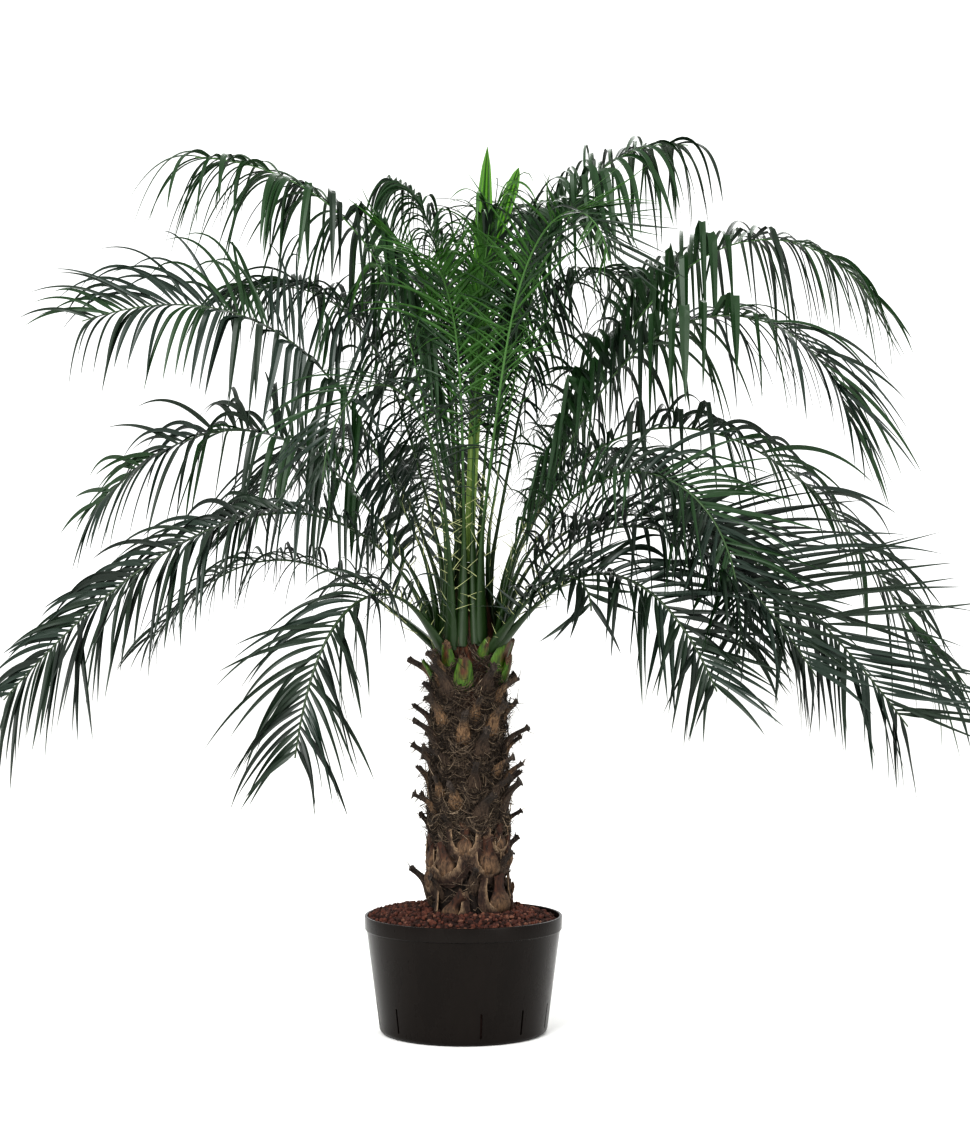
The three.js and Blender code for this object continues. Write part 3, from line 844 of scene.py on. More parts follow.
@dataclass
class Trunk:
    """Fibrous stem with cut leaf bases on a spiral, a fibre net between them, and the heart above."""

    x: float = 8
    outline: tuple[tuple[float, float], ...] = (
        (193, 60), (222, 56), (345, 56), (470, 51), (575, 50), (600, 48), (735, 14),
    )
    core_rings: int = 180
    core_segments: int = 120
    core_share: float = 0.98
    relief_waves: int = 26
    relief_depth: float = 9
    bark_top: float = 325
    sheath_from: float = 548
    heart_from: float = 672
    boot_count: int = 82
    buried: int = 8
    boot_bottom: float = 203
    boot_pitch: float = 4.86
    bulged_until: int = 19
    green_from: int = 68
    corners: int = 20
    strands: int = 4000
    loose_from: float = 292
    loose_share: float = 0.85
    hairs: int = 900
    slings: int = 26
    tufts: int = 9
    fibre_steps: int = 9
    boots: list[Boot] = field(default_factory=list)
    dice: np.random.Generator = field(default_factory=lambda: np.random.default_rng(11))

    def radius(self, height: Array) -> Array:
        """Radius of the stem at a height."""
        heights, radii = zip(*self.outline)
        return np.interp(height, heights, radii)

    def core(self) -> None:
        """Builds the stem with the relief of its fibre mat, and the sheaths over its heart."""
        height = np.linspace(self.outline[0][0], self.outline[-1][0], self.core_rings)
        azimuth = np.linspace(0, 360, self.core_segments, endpoint=False)
        grid_h, grid_a = np.meshgrid(height, azimuth, indexing="ij")
        angle = np.radians(grid_a)
        relief = np.zeros_like(grid_h)
        for _ in range(self.relief_waves):
            turns = self.dice.integers(2, 26)
            climb = self.dice.uniform(0.03, 0.3)
            relief += np.sin(turns * angle + climb * grid_h + self.dice.uniform(0, 6.3)) / self.relief_waves
        points = polar(grid_a, self.radius(grid_h) * self.core_share + relief * self.relief_depth, grid_h)
        points[..., 0] += self.x
        index, walls = ring_faces(*points.shape[:-1])
        zone = np.digitize(height[:-1], (self.bark_top, self.sheath_from))
        red = smoothstep(grid_h, self.sheath_from - 50, self.sheath_from - 10)
        green = smoothstep(grid_h, self.heart_from - 30, self.heart_from + 30)
        tone = np.where(grid_h < self.sheath_from, red, green).reshape(-1)
        heap = MeshHeap("trunk_core", BARK, FIBRE_MAT, HEART)
        # The low core takes the dark bark, which is partly painted shade in the gaps between the leaf bases.
        bark, mat, sheath = (walls[zone == number].reshape(-1, 4) for number in range(3))
        heap.add(points.reshape(-1, 3), {0: [bark, index[:1, ::-1]], 1: [mat], 2: [sheath, index[-1:]]}, tone)
        heap.make("trunk", ["trunk"], 60)

    def kind(self, number: int) -> BootKind:
        """Kind of a leaf base.

        Args:
            number: Number up the spiral.

        Returns:
            A bulging base low down, with a stick in every third place, sticks above and green stubs on top.
        """
        if number < self.bulged_until and number % 3 != 2:
            return BootKind.BULGED
        return BootKind.STICK if number < self.green_from else BootKind.GREEN

    def boot(self, number: int) -> Boot:
        """Lays out one cut leaf base.

        Args:
            number: Number up the spiral.

        Returns:
            The leaf base.
        """
        kind = self.kind(number)
        rows = kind.rows
        bulged = kind is BootKind.BULGED
        azimuth = GOLDEN_TURN * number + self.dice.normal(0, 7)
        bottom = self.boot_bottom + self.boot_pitch * number + self.dice.normal(0, 6 if bulged else 4)
        scale = self.dice.uniform(0.72, 1.2)
        reach = self.dice.uniform(0.75, 1.4) * (1 if number > self.bulged_until else 0.7)
        broad = self.dice.uniform(0.8, 1.1)
        fine = np.linspace(0, len(rows) - 1, 2 * len(rows))
        out, up, wide, deep = (np.interp(fine, range(len(rows)), rows[:, i]) for i in range(4))
        swing = self.dice.normal(0, 15 if bulged else 8) * (up / up.max()) ** 2
        path = polar(azimuth + swing, self.radius(bottom) + out * reach, bottom + up * scale)
        path[:, 0] += self.x
        sides = sides_along(path[None], -polar(azimuth + 90, 1.0, 0.0)[None])
        return Boot(kind, azimuth, bottom, path[None], sides, wide[None] * scale * broad, deep[None] * scale)

    def add_boot(self, heap: MeshHeap, boot: Boot, finish: int) -> None:
        """Adds the body of a leaf base, with its grain of ridges and its cut end.

        Args:
            heap: Heap of the base's kind.
            boot: The leaf base.
            finish: Number of the body's finish in the heap.
        """
        angle = np.linspace(0, 2 * math.pi, self.corners, endpoint=False)
        lobes, depth = (7, 0.12) if boot.kind is BootKind.STICK else (5, 0.08)
        rough = self.dice.uniform(0, 0.08, self.corners)
        ridge = 1 - depth * np.cos(lobes * angle + self.dice.uniform(0, 6.3)) - rough
        plank = np.abs(np.cos(angle)) ** 4 + np.abs(np.sin(angle)) ** 4
        square = plank**-0.25 if boot.kind is BootKind.STICK else 1
        section = round_section(self.corners) * (ridge * square)[:, None]
        shape = sweep(boot.path, boot.sides, boot.wide, boot.deep, section)
        slant = np.cos(angle - self.dice.uniform(0, 6.3)) * self.dice.uniform(1, 5)
        torn = slant + self.dice.normal(0, 1.3, self.corners)
        if boot.kind is BootKind.GREEN:
            torn += 4 * (1 - np.abs(np.cos(angle))) + self.dice.normal(0, 1.5, self.corners)
        shape.points[-self.corners :, 2] += torn
        height = np.linspace(0, 1, boot.path.shape[1])[:, None]
        if boot.kind is BootKind.GREEN:
            front = 1 - smoothstep(np.abs(angle - math.pi / 2), math.radians(10), math.radians(50))
            tone = front[None] * smoothstep(height, 0.25, 0.6)
        else:
            dried = (0.45, 0.85) if boot.kind is BootKind.STICK else (0.35, 0.75)
            tone = np.broadcast_to(smoothstep(height, *dried), (len(height), self.corners))
        body = [shape.walls.reshape(-1, 4), shape.roots]
        heap.add(shape.points, {finish: body, 0: [shape.tips]}, tone.reshape(-1))

    def add_cup(self, heap: MeshHeap, boot: Boot) -> None:
        """Adds the older sheath's papery cup round the foot of a leaf base, dark inside with a pale edge.

        Args:
            heap: Heap of the base's kind.
            boot: The leaf base.
        """
        bend = np.radians(np.linspace(-1, 1, 25) * self.dice.uniform(95, 125))
        half = boot.wide.max() * self.dice.uniform(1.25, 1.45)
        rise = np.maximum(np.abs(bend) - math.pi / 2, 0) * 34
        height = boot.bottom + 20 - np.cos(bend) * 28 + rise + self.dice.normal(0, 2)
        height = np.maximum(height, self.outline[0][0] - 10)
        radius = self.radius(height)
        azimuth = boot.azimuth + np.degrees(np.sin(bend) * half / radius)
        path = polar(azimuth, radius + 8, height)
        path[:, 0] += self.x
        path += self.dice.normal(0, 0.5, path.shape)
        outward = polar(azimuth, 1.0, 0.0)
        away = polar(azimuth + 90, np.sin(bend), -np.cos(bend))
        sides = unit(away * 0.93 - outward * 0.38)[None]
        ends = 1 - 0.6 * np.abs(bend / bend[-1]) ** 3
        stand = (self.dice.uniform(10, 15) * ends)[None]
        section = np.array(((1, 0), (0, 1), (-0.88, 0.9), (-1, 0), (-0.88, -0.9), (0, -1)), float)
        shape = sweep(path[None], sides, stand, np.full_like(stand, 1.2), section)
        tone = np.tile(smoothstep(-section[:, 0], 0.8, 0.95), len(path))
        heap.add(shape.points, {2: shape.groups()}, tone)

    def leaf_bases(self) -> None:
        """Builds the cut leaf bases, with the older ones in their papery cups."""
        self.boots = [self.boot(number) for number in range(-self.buried, self.boot_count)]
        # Finishes go by number: cut end, body, papery cup, every fifth body and every third body.
        finishes = {
            BootKind.BULGED: ("boots_bulged", TORN_END, BULGED_BASE, SHEATH_CUP, FADING_BASE, PALE_BASE),
            BootKind.STICK: ("boots_weathered", STICK_END, WEDGE_BASE, SHEATH_CUP, DARK_WEDGE, DARK_WEDGE),
            BootKind.GREEN: ("boots_green", TORN_END, GREEN_BASE, SHEATH_CUP, OLIVE_BASE, GREEN_BASE),
        }
        heaps = {kind: MeshHeap(*row) for kind, row in finishes.items()}
        for number, boot in enumerate(self.boots):
            faded = number % 5 == 4 and number > self.buried + 12
            other = 4 if number % 3 == 1 else 1
            self.add_boot(heaps[boot.kind], boot, 3 if faded else other)
            if boot.kind is BootKind.BULGED:
                self.add_cup(heaps[boot.kind], boot)
        for heap in heaps.values():
            heap.make("trunk", ["trunk"], 50)

    def wraps(self) -> Array:
        """Lays loose fibres round the stem, and hairs that stand out of them.

        Returns:
            Fibres shaped (fibres, points, 3).
        """
        count = self.strands + self.hairs
        among = partial(self.dice.uniform, size=(count, 1))
        around = partial(self.dice.normal, size=(count, 1))
        share = np.linspace(0, 1, self.fibre_steps)[None]
        hair = (np.arange(count) >= self.strands)[:, None]
        low = np.where(among(0, 1) < self.loose_share, self.loose_from, self.outline[0][0] + 6)
        bottom = lerp(low, self.sheath_from + 30, among(0, 1))
        turn = np.where(hair, around(0, 14), around(0, 40))
        climb = np.where(hair, around(4, 14), around(4, 24))
        azimuth = among(0, 360) + turn * share
        height = bottom + climb * share + 3 * np.sin(7 * share + among(0, 6))
        lift = among(-1, 9) + 3.5 * np.sin(5 * share + among(0, 6))
        stand = np.where(hair, among(8, 22) * share**1.3, 0)
        height = np.maximum(height, self.outline[0][0] + 1)
        return polar(azimuth, self.radius(height) + lift + stand, height)

    def hung_slings(self) -> Array:
        """Hangs the net's slings, which hold the foot of each leaf base from one flank to the other.

        Returns:
            Fibres shaped (fibres, points, 3).
        """
        feet = np.array([(boot.azimuth, boot.bottom) for boot in self.boots if boot.bottom > self.loose_from])
        feet = np.repeat(feet, self.slings, axis=0)
        among = partial(self.dice.uniform, size=(len(feet), 1))
        around = partial(self.dice.normal, size=(len(feet), 1))
        share = np.linspace(-1, 1, self.fibre_steps)[None] * among(0.5, 1.1) + around(0, 0.15)
        azimuth = feet[:, :1] + share * among(17, 30)
        rise = share**2 * among(18, 34) + around(1, 5)
        height = np.clip(feet[:, 1:] + rise, self.outline[0][0] + 2, None)
        lift = among(2, 12) - 3 * share**2 + self.dice.normal(0, 0.7, share.shape)
        return polar(azimuth, self.radius(height) + lift, height)

    def frayed_tufts(self) -> Array:
        """Frays the upper half of each weathered leaf base into short hairs.

        Returns:
            Fibres shaped (fibres, points, 3), not yet shifted to the stem's place.
        """
        dice = self.dice
        sticks = [boot for boot in self.boots if boot.kind is BootKind.STICK]
        roots = []
        for boot in sticks:
            rows = dice.integers(boot.path.shape[1] // 2, boot.path.shape[1], self.tufts)
            roots.append(boot.path[0, rows])
        root = np.concatenate(roots) - (self.x, 0, 0)
        count = len(root)
        way = unit(dice.normal(0, 1, (count, 3)) + unit(root * (1, 1, 0)) * 0.6)
        share = np.linspace(0, 1, self.fibre_steps)[None, :, None]
        length = dice.uniform(7, 18, (count, 1, 1))
        curl = unit(dice.normal(0, 1, (count, 3)))[:, None] * share**2 * 0.5
        return root[:, None] + (way[:, None] * share + curl) * length

    def fibres(self) -> None:
        """Covers the stem in loose fibres, dealt out in several tints."""
        dice = self.dice
        paths = np.concatenate((self.wraps(), self.hung_slings(), self.frayed_tufts())) + (self.x, 0, 0)
        count = len(paths)
        share = np.linspace(0, 1, self.fibre_steps)[None]
        radii = dice.uniform(0.3, 0.75, (count, 1)) * (1.15 - 0.8 * share**2)
        sides = sides_along(paths, np.broadcast_to(UP + 0.01, (count, 3)))
        tint = dice.choice(len(FIBRE_TINTS), count, p=(0.52, 0.38, 0.1))
        for number, finish in enumerate(FIBRE_TINTS):
            pick = tint == number
            shape = sweep(paths[pick], sides[pick], radii[pick], radii[pick], round_section(3))
            heap = MeshHeap(f"trunk_fibres_{finish.name.split('_')[-1]}", finish)
            heap.add(shape.points, {0: shape.groups()})
            heap.make("trunk", ["trunk"])

    def build(self) -> None:
        """Builds stem, leaf bases and fibres."""
        self.core()
        self.leaf_bases()
        self.fibres()


class LeafHang(Enum):
    """Ways a row of leaflets hangs: shares of crease, full sag, rise and angle, and a turn in degrees."""

    FEATHER = (0.0, 0.14, 0.4, 1.0, 25)
    SLANTED = (0.0, 0.05, 0.25, 0.6, 15)
    FOLDED = (0.0, 0.03, 0.1, 0.3, 0)
    SOFT = (0.0, 0.5, 0.7, 1.0, 30)
    STIFF = (0.0, 0.34, 1.0, 1.0, 15)
    TRAILING = (0.0, 0.9, 0.45, 1.0, 20)
    SWEEPING = (0.0, 1.1, 1.0, 1.0, 35)
    HANGING = (0.5, 1.7, 0.8, 1.0, 0)
    ARCHING = (0.35, 0.9, 1.0, 1.0, 30)
    CREASED = (1.0, 1.7, 1.6, 1.3, 10)

    def __call__(self, width: float, spacing: float, reach: float = 1.0) -> "LeafRow":
        """Gives a row that hangs so, from leaflet width, spacing along the rib and share of full length."""
        return LeafRow(self, width, spacing, reach)


@dataclass(frozen=True)
class LeafRow:
    """One row of leaflets: how it hangs, leaflet width, spacing along the rib and share of full length."""

    hang: LeafHang
    width: float
    spacing: float
    reach: float


@dataclass(frozen=True)
class FrondRow:
    """One frond: azimuth, launch, droop, bend, length, twist, its two rows of leaflets and its bare share."""

    azimuth: float
    launch: float
    droop: float
    bend: float
    length: float
    twist: float
    left: LeafRow
    right: LeafRow
    bare: float


def frond(*rib: float, left: LeafRow, right: LeafRow | None = None, bare: float = 0.17) -> FrondRow:
    """Describes a frond, with both rows of leaflets alike where only the left one is given."""
    return FrondRow(*rib, left, right or left, bare)


FEATHER, SLANTED, FOLDED, SOFT, STIFF, TRAILING, SWEEPING, HANGING, ARCHING, CREASED = LeafHang
BACK_LEAVES = ARCHING(8.5, 16)
# Azimuth, launch, droop, bend, length and twist of each rib, from the oldest frond to the youngest.
FRONDS = (
    frond(-136, 50, 130, 0.43, 490, -30, left=SWEEPING(8, 11, 1.3)),
    frond(-38, 41, 104, 0.56, 530, 45, left=SOFT(8, 9.5, 1.1), right=SWEEPING(8.5, 9.5, 1.1)),
    frond(155, 33.5, 81, 0.63, 622, -20, left=SWEEPING(5.5, 17)),
    frond(-50, 37, 129, 1, 306, 35, left=FEATHER(8, 14, 1.15)),
    frond(-28, 54, 110, 0.48, 700, 30, left=SOFT(7.5, 10), right=SWEEPING(8.5, 10), bare=0.14),
    frond(98, 56, 100, 0.6, 850, 0, left=BACK_LEAVES, bare=0.3),
    frond(190, 60, 109, 0.38, 868, -40, left=HANGING(9.5, 9.5), right=SWEEPING(8, 9, 0.68), bare=0.2),
    frond(-14, 64.7, 118, 0.355, 862, 50, left=FEATHER(7, 11, 1.3), right=SWEEPING(9.5, 12), bare=0.16),
    frond(50, 58, 108, 0.54, 890, 20, left=ARCHING(7.5, 11, 0.75), bare=0.28),
    frond(126, 60, 100, 0.57, 860, -15, left=ARCHING(6, 9, 0.9), bare=0.3),
    frond(-126, 82, 165, 0.74, 680, 0, left=SOFT(5.5, 14), bare=0.3),
    frond(9, 68.9, 134, 0.44, 1109, 30, left=SWEEPING(7.5, 14, 0.95), right=CREASED(15, 25, 0.85), bare=0.2),
    frond(160, 54, 98, 0.66, 805, -35, left=HANGING(13, 15), right=SOFT(9, 12, 0.95), bare=0.14),
    frond(-29, 55.8, 149.6, 0.61, 724, 50, left=SOFT(6.5, 9, 0.9), right=SWEEPING(7, 9, 0.9), bare=0.2),
    frond(50, 74, 118.5, 0.94, 849, 0, left=ARCHING(7, 10, 0.7), bare=0.3),
    frond(-9, 65, 144, 0.8, 922, 10, left=TRAILING(7.5, 8, 1.25), right=CREASED(14.5, 22, 0.95)),
    frond(176, 66, 84, 0.74, 860, -40, left=HANGING(11.5, 15, 0.85), right=STIFF(6.5, 10)),
    frond(142, 72, 90, 0.8, 840, 0, left=SWEEPING(6, 9, 0.9), bare=0.26),
    frond(106, 76, 95, 0.8, 860, 0, left=BACK_LEAVES, bare=0.32),
    frond(20, 62, 113, 0.9, 1046, 10, left=TRAILING(7.5, 7, 1.3), right=CREASED(15, 23, 0.95)),
    frond(-105, 87, 85, 0.95, 620, 0, left=FEATHER(7, 10), bare=0.4),
    frond(186, 81.2, 80, 0.84, 896, 0, left=CREASED(14, 18, 0.95), right=TRAILING(8, 7, 1.25), bare=0.28),
    frond(64, 80, 90, 0.9, 860, 0, left=SOFT(6, 6.5, 1.15), right=ARCHING(7, 6.5), bare=0.38),
    frond(-61, 76, 151, 1, 831, 0, left=SLANTED(5, 10.5, 0.85), right=FEATHER(5, 10.5, 0.75), bare=0.33),
    frond(27, 79.5, 82, 0.97, 918, 0, left=TRAILING(7, 7, 1.35), right=CREASED(16, 17), bare=0.28),
    frond(-160, 88, 48, 0.95, 610, 0, left=FOLDED(9, 18, 0.75), bare=0.45),
    frond(120, 85, 75, 0.95, 800, 0, left=SWEEPING(5.5, 7.5, 0.72), bare=0.42),
    frond(-72, 86, 24, 0.9, 590, 0, left=SOFT(6.5, 7.5, 1.1), bare=0.4),
)


@dataclass
class Rib:
    """Rib of a frond: it rises at its launch angle, bends at a share of its length and hangs to its tip."""

    row: FrondRow
    age: float
    trunk_x: float
    low_z: float = 592
    high_z: float = 687
    outer_radius: float = 46
    inner_radius: float = 12
    steps: int = 60
    sharpness: float = 4.5
    twist_from: float = 0.15
    twist_to: float = 0.8

    def __post_init__(self) -> None:
        """Walks the rib from its root to its tip."""
        radius = lerp(self.outer_radius, self.inner_radius, self.age)
        root = polar(self.row.azimuth, radius, lerp(self.low_z, self.high_z, self.age))
        middles = (np.arange(self.steps) + 0.5) / self.steps
        walk = np.cumsum(self.tangent(middles) * self.row.length / self.steps, axis=0)
        self.points = np.vstack((root, root + walk)) + (self.trunk_x, 0, 0)

    def pitch(self, place: Array) -> Array:
        """Angle of the rib above the horizon.

        Args:
            place: Shares of the length.

        Returns:
            Angles in degrees.
        """
        power = 1 + self.sharpness * self.row.bend
        bent = self.row.bend**power
        grown = np.power(place, power)
        return self.row.launch - self.row.droop * (1 + bent) * grown / (grown + bent)

    def tangent(self, place: Array) -> Array:
        """Direction of the rib at shares of the length."""
        pitch = np.radians(self.pitch(place))
        return polar(self.row.azimuth, np.cos(pitch), np.sin(pitch))

    def point(self, place: Array) -> Array:
        """Points of the rib at shares of the length."""
        knots = np.linspace(0, 1, self.steps + 1)
        return np.stack([np.interp(place, knots, self.points[:, i]) for i in range(3)], -1)

    def frame(self, place: Array) -> tuple[Array, Array, Array]:
        """Directions of the blade, which twists towards its tip.

        Args:
            place: Shares of the length.

        Returns:
            Tangent, left side and upper normal at each place.
        """
        tangent = self.tangent(place)
        pitch = np.radians(self.pitch(place))
        flat_normal = polar(self.row.azimuth, -np.sin(pitch), np.cos(pitch))
        flat_side = np.cross(flat_normal, tangent)
        twist = np.radians(self.row.twist) * smoothstep(place, self.twist_from, self.twist_to)[:, None]
        normal = flat_normal * np.cos(twist) - flat_side * np.sin(twist)
        return tangent, np.cross(normal, tangent), normal


@dataclass
class Frond:
    """One frond: stalk and rib, thorns near its foot, and leaflets in two rows."""

    row: FrondRow
    number: int
    total: int
    trunk_x: float
    stalk_width: float = 9
    young_stalk_width: float = 6
    tip_width: float = 2.4
    taper: float = 0.8
    flat: float = 0.72
    foot_width: float = 26
    young_foot_width: float = 20
    foot_reach: float = 170
    clasp_reach: float = 130
    clasp_radius: float = 50
    clasp_z: float = 594
    clasp_share: float = 0.85
    greens: tuple[float, ...] = (100, 160, 230, 310)
    thorn_reach: float = 150
    thorn_spacing: float = 11
    thorn_lengths: tuple[float, float] = (16, 42)
    thorn_leans: tuple[float, float] = (38, 75)
    thorn_lifts: tuple[float, float] = (-5, 50)
    blade_end: float = 0.985
    crease_fades: float = 0.62
    crease_ends: float = 0.84
    outer_width: float = 0.8
    first_width: float = 0.48
    first_length: float = 0.8
    outer_rise: float = 0.35
    base_angle: float = 64
    tip_angle: float = 40
    rise_falling: float = 14
    rise_arching: float = 44
    shortest: float = 60
    per_rib_length: float = 0.165
    end_share: float = 0.5
    swell_from: float = 0.05
    swell_to: float = 0.92
    sag_falling: float = 1.1
    sag_arching: float = 3.6
    sag_power: float = 1.4
    inner_sag: float = 0.55
    inner_drift: float = 0.45
    outer_drift: float = 0.26
    falling_pitch: float = -45
    arching_pitch: float = 5
    leaf_steps: int = 18
    leaf_thickness: float = 0.07
    keel: float = 0.2
    spray: int = 4
    # Fronds dealt the most fresh green: partly their young colour, partly painted light that lifts the shade
    # inside the crown.
    heart_fronds_lightened: tuple[int, ...] = (26, 28)
    front_fronds_lightened: tuple[int, ...] = (21, 24)

    def __post_init__(self) -> None:
        """Grows the rib and sets the frond's own chance."""
        self.age = (self.number - 1) / (self.total - 1)
        self.blade_start = self.row.bare
        self.rib = Rib(self.row, self.age, self.trunk_x)
        self.dice = np.random.default_rng(100 + self.number)

    @property
    def group(self) -> FrondAge:
        """Age group of the frond."""
        return next(age for age in FrondAge if self.number <= age.last)

    @property
    def opening(self) -> float:
        """Share of the full leaf angle, which the youngest fronds have yet to reach."""
        return float(lerp(1, 0.45, smoothstep(self.age, 0.88, 1)))

    @property
    def tint_shares(self) -> tuple[float, float, float]:
        """Shares of the group's three tints; the heart fronds and two fronds next to them at the front get
        the most fresh green, partly their young colour and partly painted light that lifts the shade inside
        the crown.
        """
        if self.group is not FrondAge.YOUNG:
            return 0.36, 0.36, 0.28
        near = 0.65 if self.number in self.front_fronds_lightened else 0.03
        fresh = 0.8 if self.number in self.heart_fronds_lightened else near
        return 0.85 - fresh, fresh, 0.15

    @property
    def nodes(self) -> list[str]:
        """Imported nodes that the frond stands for."""
        name = f"frond_{self.number:02d}"
        return [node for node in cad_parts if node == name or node.startswith(name + "_")]

    def width(self, place: Array) -> Array:
        """Width of stalk and rib, flared where it clasps the stem.

        Args:
            place: Shares of the length.

        Returns:
            Widths in millimetres.
        """
        stalk = lerp(self.stalk_width, self.young_stalk_width, self.age)
        foot = lerp(self.foot_width, self.young_foot_width, self.age)
        flare = (1 - smoothstep(place * self.row.length, 0, self.foot_reach)) ** 1.6
        return lerp(stalk, self.tip_width, place**self.taper) + (foot - stalk) * flare

    def spine(self, place: Array) -> Array:
        """Centre line of stalk and rib at shares of the length.

        Args:
            place: Shares of the length.

        Returns:
            Points of the rib, drawn down and out over the stem where the foot of the stalk clasps it.
        """
        ring = polar(self.row.azimuth, self.clasp_radius, self.clasp_z) + (self.trunk_x, 0, 0)
        fade = (1 - place * self.row.length / self.clasp_reach).clip(0, 1) ** 2
        return self.rib.point(place) + (ring - self.rib.points[0]) * self.clasp_share * fade[:, None]

    def add_stalk(self, heap: MeshHeap) -> None:
        """Adds stalk and rib.

        Args:
            heap: Heap of the age group's stalks.
        """
        place = np.linspace(0, 1, 56) ** 1.15
        _, side, _ = self.rib.frame(place)
        wide = self.width(place) / 2
        flare = (wide * 2 / self.foot_width).clip(0, 1)
        deep = wide * lerp(self.flat, 0.5, flare)
        path = self.spine(place)[None]
        shape = sweep(path, side[None], wide[None], deep[None], round_section(10))
        green = np.digitize(place[:-1] * self.row.length + self.dice.uniform(-30, 30), self.greens)
        rings = [shape.walls[:, green == step].reshape(-1, 4) for step in range(len(self.greens) + 1)]
        groups = {step: [faces] for step, faces in enumerate(rings)}
        heap.add(shape.points, groups | {0: [shape.roots, shape.tips, rings[0]]})

    def add_thorns(self, heap: MeshHeap) -> None:
        """Adds the thorns that stand in two rows on the lower stalk.

        Args:
            heap: Heap of the age group's thorns.
        """
        count = int(self.thorn_reach / self.thorn_spacing)
        place = np.linspace(0.05, 0.05 + self.thorn_reach / self.row.length, count).clip(0, 0.6)
        place += self.dice.normal(0, 0.006, count)
        tangent, side, normal = self.rib.frame(place)
        hand = np.where(np.arange(count) % 2, 1.0, -1.0)[:, None]
        lean = np.radians(self.dice.uniform(*self.thorn_leans, count))[:, None]
        lift = np.radians(self.dice.uniform(*self.thorn_lifts, count))[:, None]
        way = tangent * np.cos(lean) + np.sin(lean) * (side * hand * np.cos(lift) + normal * np.sin(lift))
        length = self.dice.uniform(*self.thorn_lengths, count)[:, None, None]
        share = np.linspace(0, 1, 4)[None, :, None]
        root = self.spine(place) + side * hand * self.width(place)[:, None] * 0.4
        paths = root[:, None] + way[:, None] * length * share
        paths[..., 2] += (share * share * length * self.dice.normal(0, 0.08, (count, 1, 1)))[..., 0]
        thick = np.broadcast_to(np.array((0.8, 0.65, 0.45, 0.08)), (count, 4))
        shape = sweep(paths, sides_along(paths, tangent), thick, thick, round_section(4))
        heap.add(shape.points, {0: shape.groups()})

    def leaf_places(self, row: LeafRow, offset: float) -> Array:
        """Spreads the leaflets of one row along the blade.

        Args:
            row: The row of leaflets.
            offset: Shift of the row in steps between leaflets.

        Returns:
            Shares of the rib's length.
        """
        count = int(self.row.length * (self.blade_end - self.blade_start) / row.spacing)
        place = (np.arange(count) + offset + self.dice.normal(0, 0.12, count)) / count
        return self.blade_start + (self.blade_end - self.blade_start) * place.clip(0, 1)

    def leaf_lengths(self, place: Array) -> Array:
        """Leaflet lengths: short at both ends of the blade, full in its middle.

        Args:
            place: Shares of the rib's length.

        Returns:
            Lengths in millimetres.
        """
        along = (place - self.blade_start) / (1 - self.blade_start)
        full = self.shortest + self.per_rib_length * self.row.length
        swell = np.sin(math.pi * lerp(self.swell_from, self.swell_to, along))
        first = lerp(self.first_length, 1, smoothstep(along, 0, 0.25))
        return full * lerp(self.end_share, 1, swell) * first * self.dice.normal(1, 0.1, len(place))

    def leaf_paths(self, place: Array, hand: float, row: LeafRow) -> tuple[Array, Array]:
        """Lets the leaflets of one row rise from the rib, fold over and hang.

        Args:
            place: Shares of the rib's length.
            hand: 1 for the left row, -1 for the right one.
            row: The row of leaflets.

        Returns:
            Centre lines shaped (leaflets, points, 3), and side directions at their roots.
        """
        count = len(place)
        among = partial(self.dice.uniform, size=(count, 1))
        around = partial(self.dice.normal, size=(count, 1))
        crease_share, sag_share, rise_share, angle_share, _ = row.hang.value
        along = ((place - self.blade_start) / (1 - self.blade_start))[:, None]
        tangent, side, normal = self.rib.frame(place)
        arching = smoothstep(self.rib.pitch(place), self.falling_pitch, self.arching_pitch)[:, None]
        spread = lerp(self.base_angle, self.tip_angle, along) * self.opening * lerp(1, angle_share, arching)
        angle = np.radians(spread + around(0, 8))
        outer = crease_share * smoothstep(place, self.crease_fades, self.crease_ends)[:, None]
        rise_arching = self.rise_arching * lerp(rise_share, self.outer_rise, outer)
        rise = np.radians(lerp(self.rise_falling, rise_arching, arching) + around(0, 11).clip(-20, 12))
        first = tangent * np.cos(angle) + np.sin(angle) * (side * hand * np.cos(rise) + normal * np.sin(rise))
        sag = lerp(self.sag_falling, self.sag_arching, arching) * sag_share
        inner = lerp(lerp(self.inner_sag, 1, crease_share), 1, smoothstep(along, 0.1, 0.5))
        sag = sag * inner * around(1, 0.3).clip(0.7, 1.6)
        length = self.leaf_lengths(place)[:, None] * row.reach
        crease = among(0.12, 0.24)
        loop = among(0.05, 0.15)
        sharp = (crease_share - outer) * arching
        stray = lerp(self.inner_drift, self.outer_drift, smoothstep(along, 0, 0.5))
        drift = self.dice.normal(0, 1, (count, 3)).clip(-1.3, 1.3) * stray
        path = np.empty((count, self.leaf_steps + 1, 3))
        path[:, 0] = self.rib.point(place)
        for i in range(self.leaf_steps):
            share = (i + 0.5) / self.leaf_steps
            creased = smoothstep((share - crease) / loop, 0.0, 1.0)
            pull = sag * lerp(share**self.sag_power, creased, sharp)
            way = unit(first + drift * share - UP * pull)
            path[:, i + 1] = path[:, i] + way * length / self.leaf_steps
        return path, -hand * (tangent - dot(tangent, first) * first)

